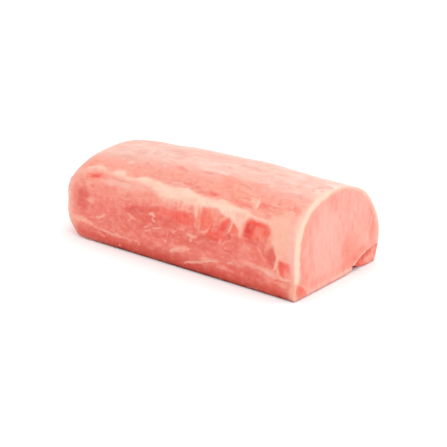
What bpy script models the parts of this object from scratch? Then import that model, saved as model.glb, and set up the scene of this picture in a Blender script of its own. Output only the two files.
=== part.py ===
"""A boneless pork loin joint: eye muscle, fat cap, rib strip and chain muscle.

Frame: +X is the long axis and points at the flat knife cut, -Y is the side with
the scalloped fat band, +Z is up.  The joint rests on the plane z = 0 and its
bounding box is centred over the origin.  All lengths are in metres.
"""

import math

import bmesh
import bpy
from mathutils import Vector, noise

# Driving dimensions
LENGTH = 0.2525
HALF_BASE = 0.0575          # half the width of the base at the knife cut
HEIGHT = 0.0763             # at the knife cut
END_LENGTH = 0.034          # how much of the length the rounded end takes
END_CENTRE_Y = -0.030       # the point that the rounded end closes on
END_CENTRE_Z = 0.0341
END_FULLNESS = 2.35         # exponents of the end's rounding, along and across
END_BLUNTNESS = 1.81
FAR_WIDENING = 0.050        # the rounded end is this much wider than the cut
FAR_LOWERING = 0.110        # and this much lower
TOP_BOW = 0.080             # how much the top swells at mid length
SKEW = 0.0136               # how far the rounded end lies towards +Y of the cut

# Fat cap
CAP_NEAR = 0.0054           # thickness on the near side, over the top and far side
CAP_TOP = 0.0045
CAP_FAR = 0.0034
SEAM = 0.0003               # clearance between neighbouring muscles

# Rib strip along the near edge of the base, chain muscle along the far one
STRIP_WIDTH = 0.0170
STRIP_HEIGHT = 0.0150
STRIP_WAVE = 0.0035         # the strip's height rises and falls along its length
STRIP_WAVELENGTH = 0.160
CHAIN_WIDTH = 0.0345
CHAIN_HEIGHT = 0.0140

# Slow unevenness of the outside, faded out towards the base
SWELL = 0.0011
SWELL_FREQUENCY = 22.0
RIPPLE_SHARE = 0.4
RIPPLE_FREQUENCY = 55.0
SWELL_STARTS = 0.004
SWELL_FULL = 0.020

# Underside
ARCH_CENTRE = 0.028
ARCH_HALF_WIDTH = 0.020
ARCH_RISE = 0.0020
GROOVE_HALF_WIDTH = 0.0055
GROOVE_HEIGHT = 0.0036

# Mesh
DOME_STEPS = 46
BASE_STEPS = 16
BODY_ROWS = 20
END_ROWS = 11
TOOL_STEPS = 22
TOOL_ROWS = 24
PAST_CUT = 0.010            # how far the tools run past the cut and the rounded end
BELOW_BASE = -0.010         # how far down the core runs, to pass through the base
CORE_FOOT = 0.004           # the core's walls run straight down from here
MIDDLE_Z = 0.035            # a point well inside every section

CUT_X = LENGTH / 2
ROUND_X = -LENGTH / 2 + END_LENGTH

# The cut's outline: near bottom corner, near side, shoulder, top, far side, far bottom corner
DOME_POINTS = (
    (-HALF_BASE + 0.0014, 0.0),
    (-HALF_BASE, 0.0026),
    (-0.0554, 0.0150),
    (-0.0558, 0.0373),
    (-0.0522, 0.0522),
    (-0.0433, 0.0649),
    (-0.0303, 0.0731),
    (-0.0110, HEIGHT),
    (0.0146, 0.0733),
    (0.0405, 0.0606),
    (0.0578, 0.0386),
    (0.0624, 0.0190),
    (HALF_BASE, 0.0),
)

MATERIALS = {
    "loin_eye": ((0.86, 0.42, 0.36, 1.0), 0.42),
    "fat_cap": ((0.93, 0.60, 0.50, 1.0), 0.38),
    "rib_strip": ((0.78, 0.26, 0.22, 1.0), 0.42),
    "chain_muscle": ((0.80, 0.29, 0.25, 1.0), 0.42),
}


def clear_scene():
    for obj in list(bpy.data.objects):
        bpy.data.objects.remove(obj)


def smooth_between(a, b, x):
    """0 below a, 1 above b, with an S curve between."""
    t = min(max((x - a) / (b - a), 0.0), 1.0)
    return t * t * (3 - 2 * t)


def spline(points, steps):
    """A Catmull-Rom curve through the points, sampled at even arc lengths."""
    ends = [points[0], *points, points[-1]]
    fine = []
    for p0, p1, p2, p3 in zip(ends, ends[1:], ends[2:], ends[3:]):
        for i in range(24):
            t = i / 24
            fine.append(tuple(
                0.5 * (2 * b + (c - a) * t + (2 * a - 5 * b + 4 * c - d) * t * t
                       + (3 * b - a - 3 * c + d) * t ** 3)
                for a, b, c, d in zip(p0, p1, p2, p3)))
    fine.append(points[-1])
    along = [0.0]
    for a, b in zip(fine, fine[1:]):
        along.append(along[-1] + math.dist(a, b))
    even = []
    k = 0
    for i in range(steps + 1):
        wanted = along[-1] * i / steps
        while k < len(along) - 2 and along[k + 1] < wanted:
            k += 1
        share = (wanted - along[k]) / (along[k + 1] - along[k])
        even.append(tuple(a + (b - a) * share for a, b in zip(fine[k], fine[k + 1])))
    return even


def base_height(y):
    """The underside's shallow hollow beside the chain muscle."""
    u = abs(y - ARCH_CENTRE) / ARCH_HALF_WIDTH
    return ARCH_RISE * math.cos(math.pi / 2 * u) ** 2 if u < 1 else 0.0


def outer_outline():
    """The whole joint's section at the cut, as a closed ring of (y, z)."""
    dome = spline(DOME_POINTS, DOME_STEPS)
    near, far = dome[0][0], dome[-1][0]
    base = []
    for i in range(1, BASE_STEPS):
        y = far + (near - far) * i / BASE_STEPS
        base.append((y, base_height(y)))
    return dome + base


def cap_thickness(share):
    """Fat thickness at a share of the way over the dome, from the near side to the far."""
    if share < 0.5:
        return CAP_NEAR + (CAP_TOP - CAP_NEAR) * smooth_between(0.25, 0.5, share)
    return CAP_TOP + (CAP_FAR - CAP_TOP) * smooth_between(0.5, 0.8, share)


def inner_outline(clearance):
    """The section under the fat cap, open downwards, as a closed ring of (y, z)."""
    dome = spline(DOME_POINTS, DOME_STEPS)
    inner = []
    for i in range(1, DOME_STEPS):
        (ya, za), (yb, zb) = dome[i - 1], dome[i + 1]
        run = math.dist((ya, za), (yb, zb))
        depth = cap_thickness(i / DOME_STEPS) + clearance
        y, z = dome[i]
        inner.append((y + depth * (zb - za) / run, z - depth * (yb - ya) / run))
    walls = [p for p in inner if p[1] > CORE_FOOT]
    near, far = walls[0][0], walls[-1][0]
    floor = []
    for i in range(BASE_STEPS + 1):
        floor.append((far + (near - far) * i / BASE_STEPS, BELOW_BASE))
    return walls + floor


def end_scale(x, inset=0.0):
    """How much of its size a section keeps on the rounded end, 1 elsewhere."""
    t = min(max((ROUND_X - x) / (END_LENGTH - inset), 0.0), 1.0)
    return (1 - t ** END_FULLNESS) ** (1 / END_BLUNTNESS)


def bend(x, y, z):
    """Skews, widens and bows a straight prism of the cut's section, without its end."""
    far = 0.5 - x / LENGTH
    bow = 1 + TOP_BOW * (1 - (2 * x / LENGTH) ** 2)
    return Vector((x,
                   y * (1 + FAR_WIDENING * far) + SKEW * far,
                   z * (1 - FAR_LOWERING * far) * bow))


def place(x, y, z, inset=0.0):
    """The bent prism with its far end rounded off."""
    point = bend(x, y, z)
    k = end_scale(x, inset)
    point.y = END_CENTRE_Y + (point.y - END_CENTRE_Y) * k
    point.z = END_CENTRE_Z + (point.z - END_CENTRE_Z) * k
    return point


def uneven(point):
    """A slow, uneven swell of the outside, level with the base at the bottom."""
    swell = (noise.noise(point * SWELL_FREQUENCY)
             + RIPPLE_SHARE * noise.noise(point * RIPPLE_FREQUENCY))
    return SWELL * swell * smooth_between(SWELL_STARTS, SWELL_FULL, point.z)


def stations(first, inset=0.0):
    """x of each ring from the cut end to the tip of the rounded end."""
    straight = [first + (ROUND_X - first) * i / BODY_ROWS for i in range(BODY_ROWS + 1)]
    rounded = []
    for i in range(1, END_ROWS):
        t = math.sin(math.pi / 2 * i / END_ROWS)
        rounded.append(ROUND_X - (END_LENGTH - inset) * t)
    return straight + rounded


def closed_body(name, rings, tip):
    """A UV sphere whose rings are moved onto the given rings of points."""
    rows = len(rings) + 1
    columns = len(rings[0])
    bm = bmesh.new()
    bmesh.ops.create_uvsphere(bm, u_segments=columns, v_segments=rows, radius=1.0)
    butt = sum(rings[0], Vector()) / columns
    for vert in bm.verts:
        row = round(math.acos(min(max(vert.co.z, -1.0), 1.0)) / math.pi * rows)
        column = round(math.atan2(vert.co.y, vert.co.x) / (2 * math.pi) * columns) % columns
        if row == 0:
            vert.co = butt
        elif row == rows:
            vert.co = tip
        else:
            vert.co = rings[row - 1][column]
    bmesh.ops.triangulate(bm, faces=bm.faces)
    bmesh.ops.recalc_face_normals(bm, faces=bm.faces)
    mesh = bpy.data.meshes.new(name)
    bm.to_mesh(mesh)
    bm.free()
    return bpy.data.objects.new(name, mesh)


def uneven_rings(outline, first, inset=0.0):
    """The outline's ring at each station, pushed out or in by the unevenness."""
    rings = []
    for x in stations(first, inset):
        middle = place(x, 0.0, MIDDLE_Z, inset)
        ring = []
        for y, z in outline:
            point = place(x, y, z, inset)
            outward = Vector((0.0, point.y - middle.y, point.z - middle.z)).normalized()
            ring.append(point + outward * uneven(point))
        rings.append(ring)
    return rings


def joint_body(name):
    """The whole joint in one piece, with its slow unevenness."""
    outline = outer_outline()
    face = [place(CUT_X, y / 2, (MIDDLE_Z + z) / 2) for y, z in outline]
    rings = [face] + uneven_rings(outline, CUT_X)
    return closed_body(name, rings, place(-LENGTH / 2, 0.0, 0.0))


def core_body(name, clearance):
    """All that lies inside the fat cap, run past the cut and through the base."""
    inset = CAP_TOP + clearance
    rings = uneven_rings(inner_outline(clearance), CUT_X + PAST_CUT, inset)
    return closed_body(name, rings, place(-LENGTH / 2 + inset, 0.0, 0.0, inset))


def edge_tube(name, y, width, height, wave=0.0, clearance=0.0):
    """An oval tube along the base from end to end, which marks off a side muscle."""
    first = CUT_X + PAST_CUT
    last = -LENGTH / 2 - PAST_CUT
    rings = []
    for i in range(TOOL_ROWS + 1):
        x = first + (last - first) * i / TOOL_ROWS
        tall = height + wave * math.sin(2 * math.pi * (CUT_X - x) / STRIP_WAVELENGTH)
        centre = bend(x, y, 0.0)
        ring = []
        for j in range(TOOL_STEPS):
            angle = 2 * math.pi * (j + 0.5) / TOOL_STEPS
            ring.append(centre + Vector((0.0,
                                         math.cos(angle) * (width + clearance),
                                         math.sin(angle) * (tall + clearance))))
        rings.append(ring)
    return closed_body(name, rings, bend(last, y, 0.0))


def combine(obj, operation, tool):
    """A Boolean with the tool, which the object keeps as a live modifier."""
    modifier = obj.modifiers.new(operation.lower() + "_" + tool.name, "BOOLEAN")
    modifier.operation = operation
    modifier.solver = "EXACT"
    modifier.object = tool


def finish(obj):
    """Smooth shading, with the knife cut and the seams left sharp."""
    mesh = bpy.data.meshes.new_from_object(
        obj.evaluated_get(bpy.context.evaluated_depsgraph_get()))
    obj.modifiers.clear()
    obj.data = mesh
    mesh.name = obj.name
    mesh.shade_smooth()
    mesh.set_sharp_from_angle(angle=math.radians(40))
    colour, roughness = MATERIALS[obj.name]
    material = bpy.data.materials.new(obj.name)
    material.use_nodes = True
    shader = material.node_tree.nodes["Principled BSDF"]
    shader.inputs["Base Color"].default_value = colour
    shader.inputs["Roughness"].default_value = roughness
    mesh.materials.clear()
    mesh.materials.append(material)


def centre_over_origin(objects):
    """Moves the meshes so that the bounding box stands centred on the origin."""
    points = [v.co for obj in objects for v in obj.data.vertices]
    shift = Vector((-(min(p.x for p in points) + max(p.x for p in points)) / 2,
                    -(min(p.y for p in points) + max(p.y for p in points)) / 2,
                    -min(p.z for p in points)))
    for obj in objects:
        for vert in obj.data.vertices:
            vert.co += shift


def build():
    clear_scene()
    joint = bpy.data.collections.new("pork_loin")
    tools = bpy.data.collections.new("cutters")
    for collection in (joint, tools):
        bpy.context.scene.collection.children.link(collection)

    core = core_body("core", SEAM)
    pocket = core_body("cap_pocket", 0.0)
    near_edge = (-HALF_BASE, STRIP_WIDTH, STRIP_HEIGHT, STRIP_WAVE)
    far_edge = (HALF_BASE, CHAIN_WIDTH, CHAIN_HEIGHT)
    strip_tube = edge_tube("strip_tube", *near_edge)
    strip_seam = edge_tube("strip_seam", *near_edge, clearance=SEAM)
    chain_tube = edge_tube("chain_tube", *far_edge)
    chain_seam = edge_tube("chain_seam", *far_edge, clearance=SEAM)
    groove = edge_tube("groove", HALF_BASE - CHAIN_WIDTH + GROOVE_HALF_WIDTH,
                       GROOVE_HALF_WIDTH, GROOVE_HEIGHT)
    for tool in (core, pocket, strip_tube, strip_seam, chain_tube, chain_seam, groove):
        tools.objects.link(tool)
        tool.hide_render = True
        tool.display_type = "WIRE"

    recipes = {
        "loin_eye": (("INTERSECT", core), ("DIFFERENCE", strip_seam),
                     ("DIFFERENCE", chain_seam), ("DIFFERENCE", groove)),
        "fat_cap": (("DIFFERENCE", pocket), ("DIFFERENCE", strip_seam),
                    ("DIFFERENCE", chain_seam)),
        "rib_strip": (("INTERSECT", strip_tube),),
        "chain_muscle": (("INTERSECT", chain_tube), ("DIFFERENCE", groove)),
    }
    pieces = []
    for name, steps in recipes.items():
        piece = joint_body(name)
        joint.objects.link(piece)
        for operation, tool in steps:
            combine(piece, operation, tool)
        pieces.append(piece)
    bpy.context.view_layer.update()
    for piece in pieces:
        finish(piece)
    centre_over_origin(pieces)
    for tool in list(tools.objects):
        bpy.data.objects.remove(tool)
    bpy.data.collections.remove(tools)


build()
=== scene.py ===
"""A raw boneless pork loin, dressed over its construction model.

The four solids of the construction model are replaced by finely modelled pieces:
the fat cap, the eye muscle with its knife cut, the rib strip and the chain muscle.
Loose scraps of silverskin and fat lie on top of them.

Marks on the outside are placed on a chart, in millimetres: "along" runs from the
rounded end (-126) to the knife cut (+126), and "round" runs over the dome from the
near bottom corner (0) past the shoulder (60) and the top (104) to the far corner (227).
Marks on the knife cut are placed by their y and z before the joint is centred.
"""

import math
from collections import namedtuple

import bpy
import numpy as np
from mathutils import Matrix, Vector, noise


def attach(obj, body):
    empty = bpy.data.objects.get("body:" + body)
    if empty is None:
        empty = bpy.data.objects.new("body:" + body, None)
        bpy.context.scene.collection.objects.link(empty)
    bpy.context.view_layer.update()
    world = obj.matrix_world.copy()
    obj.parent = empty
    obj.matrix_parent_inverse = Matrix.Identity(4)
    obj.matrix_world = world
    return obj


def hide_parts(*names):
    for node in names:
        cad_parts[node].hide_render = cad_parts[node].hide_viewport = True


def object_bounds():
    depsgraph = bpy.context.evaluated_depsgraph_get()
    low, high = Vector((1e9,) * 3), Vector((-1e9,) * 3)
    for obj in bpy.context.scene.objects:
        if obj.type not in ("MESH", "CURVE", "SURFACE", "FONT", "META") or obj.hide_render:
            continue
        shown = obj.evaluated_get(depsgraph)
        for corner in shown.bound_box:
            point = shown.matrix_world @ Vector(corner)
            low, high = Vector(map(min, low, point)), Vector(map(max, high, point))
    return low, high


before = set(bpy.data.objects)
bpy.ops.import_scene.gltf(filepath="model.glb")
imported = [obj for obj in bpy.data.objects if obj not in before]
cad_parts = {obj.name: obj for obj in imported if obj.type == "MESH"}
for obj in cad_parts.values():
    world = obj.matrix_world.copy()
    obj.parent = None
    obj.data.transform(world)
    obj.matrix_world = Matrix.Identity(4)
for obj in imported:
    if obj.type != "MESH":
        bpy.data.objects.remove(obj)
CAD_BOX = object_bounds()

bl_info = {
    "name": "Boneless Pork Loin",
    "version": (1, 0, 0),
    "blender": (4, 5, 0),
    "location": "View3D > Sidebar > Pork Loin",
    "description": "Dresses the construction model of a raw boneless pork loin",
    "category": "Add Mesh",
}

# ---------------------------------------------------------------- form of the joint
LENGTH = CAD_BOX[1].x - CAD_BOX[0].x
CUT_X = LENGTH / 2
HALF_BASE = 0.0575
HEIGHT = 0.0763
END_LENGTH = 0.034
END_CENTRE_Y = -0.030
END_CENTRE_Z = 0.0341
END_FULLNESS = 2.35
END_BLUNTNESS = 1.81
FAR_WIDENING = 0.050
FAR_LOWERING = 0.110
TOP_BOW = 0.080
SKEW = 0.0136
ROUND_X = END_LENGTH - LENGTH / 2
MIDDLE_Z = 0.035
DOME_POINTS = (
    (-HALF_BASE + 0.0014, 0.0), (-HALF_BASE, 0.0026), (-0.0554, 0.0150),
    (-0.0558, 0.0373), (-0.0522, 0.0522), (-0.0433, 0.0649), (-0.0303, 0.0731),
    (-0.0110, HEIGHT), (0.0146, 0.0733), (0.0405, 0.0606), (0.0578, 0.0386),
    (0.0624, 0.0190), (HALF_BASE, 0.0),
)
CAP_NEAR = 0.0054
CAP_TOP = 0.0045
CAP_FAR = 0.0034
STRIP_WIDTH = 0.0170
STRIP_HEIGHT = 0.0150
STRIP_WAVE = 0.0035
STRIP_WAVELENGTH = 0.160
CHAIN_WIDTH = 0.0345
CHAIN_HEIGHT = 0.0140
CHAIN_WAVE = 0.0012
ARCH_CENTRE = 0.028
ARCH_HALF_WIDTH = 0.020
ARCH_RISE = 0.0020
GROOVE_TOP = ((0.0226, 0.0058), (0.0245, 0.0052), (0.0280, 0.0038), (0.0345, 0.0012))
GROOVE_OPENING = 0.0027
GROOVE_DEPTH = 0.0014
SWELL = 0.0011
SWELL_FREQUENCY = 22.0
RIPPLE_SHARE = 0.4
RIPPLE_FREQUENCY = 55.0
SHOULDER_SOFTNESS = 0.009
SHOULDER_FROM = (0.106, 0.128)  # distances round the dome between which the softening comes in
SHOULDER_TO = (0.180, 0.200)
STEADY_FOOT = (0.004, 0.020)    # heights between which the slow unevenness comes in
END_TUCK_X = (-0.103, -0.120)   # where the rounded end's foot starts to turn in, and is in
END_TUCK_HEIGHT = 0.012
PLAIN_FOOT = 0.004          # the outside has no relief at the floor, and all of it above this
BELOW_BASE = -0.018
PAST_CUT = 0.010
CORE_FOOT = 0.004
HAIRLINE = 0.00002          # gap between neighbouring pieces, too fine to see
CHAIN_GAP = 0.00012         # the chain muscle's seam shows as a very fine dark line

# ---------------------------------------------------------------- meshes
CAP_BASE_STEP = 0.0040      # between points on the cap's underside, which is hardly seen
CAP_FACE_STEP = 0.0016      # between rings on the cap's share of the knife cut
EYE_STEP = 0.0018           # between points on the eye's sides, which the cap covers
FINE_STEP = 0.0014          # between points on bare undersides and on the chain muscle
FACE_STEP = 0.0012          # between rings on the knife cut
TOOL_ROWS = 90
TOOL_COLUMNS = 72
TOOL_FLOOR_POINTS = 12
MERGE = 0.00003             # points nearer to each other than this become one
SLIVER = 0.00002            # edges shorter than this are dissolved
SMOOTH_ANGLE = 38.0         # edges sharper than this stay sharp
TINY = 1e-12                # keeps a vector without length from dividing by zero
FACE_REACH = 0.060          # from the knife cut's middle to its edge, for counting rings
DEEP_INSIDE = 0.05          # stands for the depth of places whose spokes miss the dome

# ---------------------------------------------------------------- photograph's camera
CAMERA_AZIMUTH = 37.46
CAMERA_ELEVATION = 19.22
CAMERA_DISTANCE = 1.15
CAMERA_LENS = 112.57
CAMERA_SENSOR = 36.0
CAMERA_ASIDE = 0.0126       # what the camera looks at, right of and above (0, 0, 0.04)
CAMERA_ABOVE = -0.0183
TARGET_Z = 0.040

# ---------------------------------------------------------------- studio
FLOOR_SIZE = 8.0
FLOOR_DROP = 0.0002
KEY_PLACE = (0.10, 0.35, 1.3)
KEY_SIZE = 1.3
FILL_PLACE = (1.2, -0.25, 0.7)
FILL_SIZE = 1.0
WHITE = (1.0, 1.0, 1.0, 1.0)
FLOOR_WHITE = (0.92, 0.92, 0.92, 1.0)
SPECULAR = 0.22
MEAT_IOR = 1.4
GLOW_RADIUS = (1.0, 0.38, 0.26)
LUMINANCE = (0.21, 0.72, 0.07)  # shares of red, green and blue in brightness
FAT_BRIGHTNESS = (0.40, 0.62)   # meat darker than the first isn't fat, and past the second it is
EDGE_WIDTH = 0.002          # places less deep than this under the dome are the edge's
CUT_REACH = 0.004           # the knife cut's colours fade out this far behind it
CUT_REACH_AT_EDGE = 0.0012
UNDER_EDGE = (0.0015, 0.0050)   # the underside's colours come in this far from its edges
TIP_REACH = (0.001, 0.007)  # the rounded end's tip is fat, out to between these
CUT_DEPTH = 0.0025          # faces nearer to the cut than this, and facing it, are cut meat
CUT_FACING = 0.75


def near_corner_y():
    """y of the near bottom corner of the knife cut, read from the frame."""
    points = [v.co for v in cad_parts["rib_strip"].data.vertices]
    return min(p.y for p in points if p.x > CUT_X - 0.0001)


CENTRING = near_corner_y() + HALF_BASE    # the frame lies this far along Y


def srgb(red, green, blue):
    """Linear colour of a display colour given in levels from 0 to 255."""
    linear = []
    for level in (red, green, blue):
        share = level / 255
        linear.append(share / 12.92 if share <= 0.04045 else ((share + 0.055) / 1.055) ** 2.4)
    return tuple(linear)


# ---------------------------------------------------------------- marks on the outside
# Colour round the dome where nothing else lies: (round, colour name)
# The first stops (shadow, deep, wine) and the last ones (wine, deep) darken both feet towards the floor:
# painted contact shade.
GROUND = (
    (0, "shadow"), (1.6, "shadow"), (3.2, "deep"), (6.6, "wine"), (10.5, "lean"), (17, "flesh"),
    (23, "lean"), (40, "flesh"), (47, "rosy"), (54, "apricot"), (62, "salmon"), (75, "salmon"),
    (84, "blush"), (90, "membrane"), (116, "membrane"), (132, "pale"), (150, "pale"), (166, "membrane"),
    (178, "salmon"), (196, "rosy"), (212, "lean"), (222, "wine"), (225, "deep"), (227, "deep"),
)
# Broad, soft changes of colour: along, round, half length, half height, tilt, colour, strength
WASHES = (
    (-58, 55, 34, 7, 3, "salmon", 0.75), (-82, 46, 26, 8, 0, "rosy", 0.55),
    (-118, 25, 8, 24, 0, "peach", 0.85), (-95, 20, 26, 7, 0, "flesh", 0.6),
    (-30, 52, 18, 4, 0, "apricot", 0.6), (6, 51.5, 27, 4.2, 0, "veil", 0.9),
    (-8, 42, 30, 7, 4, "coral", 0.22), (88, 30, 22, 9, 0, "flesh", 0.6),
    (112, 48, 14, 22, 0, "peach", 0.7), (80, 21, 34, 5, -4, "rosy", 0.6),
    (15, 33, 26, 6, 0, "wine", 0.35), (30, 24, 40, 5, 0, "wine", 0.25),
    (-30, 34, 20, 8, 0, "wine", 0.22), (-104, 38, 8, 12, 0, "wine", 0.3),
    # The deep wash next is painted shade along the foot.
    (-5, 7, 55, 4, 0, "deep", 0.35), (108, 8, 14, 5, 0, "ember", 0.5),
    (-109, 112, 12, 20, 0, "pearl", 0.6), (-93, 112, 9, 22, 0, "dusky", 0.45),
    (122, 14, 6, 9, 0, "peach", 0.5), (106, 66, 13, 6, 0, "rosy", 0.75),
    (-119, 58, 7, 22, 0, "membrane", 0.45), (-32, 114, 48, 15, 0, "blush", 0.28),
    (104, 108, 24, 17, 0, "pale", 0.75), (122, 121, 7, 14, 0, "pearl", 0.75),
    (80, 9.5, 15, 4, 0, "wine", 0.45), (58, 76, 26, 9, 0, "apricot", 0.35),
    # The rosy wash on the next line lightens the painted shade at the foot near the rounded end.
    (-120, 8, 12, 12, 0, "peach", 0.7), (-102, 1, 26, 4, 0, "rosy", 0.5),
    # The deep wash next is painted shade along the foot as well.
    (96, 4, 24, 5, 0, "deep", 0.3), (0, 104, 130, 24, 0, "dusky", 0.14),
)
BAND_TOP = (
    (-130, 64), (-112, 65), (-100, 68), (-91, 70.6), (-84, 70.4), (-79, 67), (-72, 66), (-67, 69.4),
    (-59, 70), (-55, 65.2), (-45, 64.8), (-33, 67), (-20, 66), (-8, 63.5), (8, 65.5), (20, 63),
    (40, 61.8), (50, 63.5), (60, 61), (72, 60.5), (80, 58.5), (92, 58), (102, 56), (112, 60), (130, 66),
)
BAND_FOOT = (
    (-130, 62), (-112, 63), (-100, 64.5), (-90, 66.5), (-80, 66), (-74, 65), (-67, 63), (-55, 62.6),
    (-40, 61.8), (-28, 60.5), (-18, 56.5), (-8, 53.5), (6, 54.5), (14, 53), (23, 54.5), (27, 50),
    (31, 54), (40, 55.5), (47, 56.5), (53, 53), (60, 51), (66, 48.5), (72, 46), (77, 55), (88, 56.5),
    (97, 55), (103, 44), (112, 32), (130, 30),
)
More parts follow.
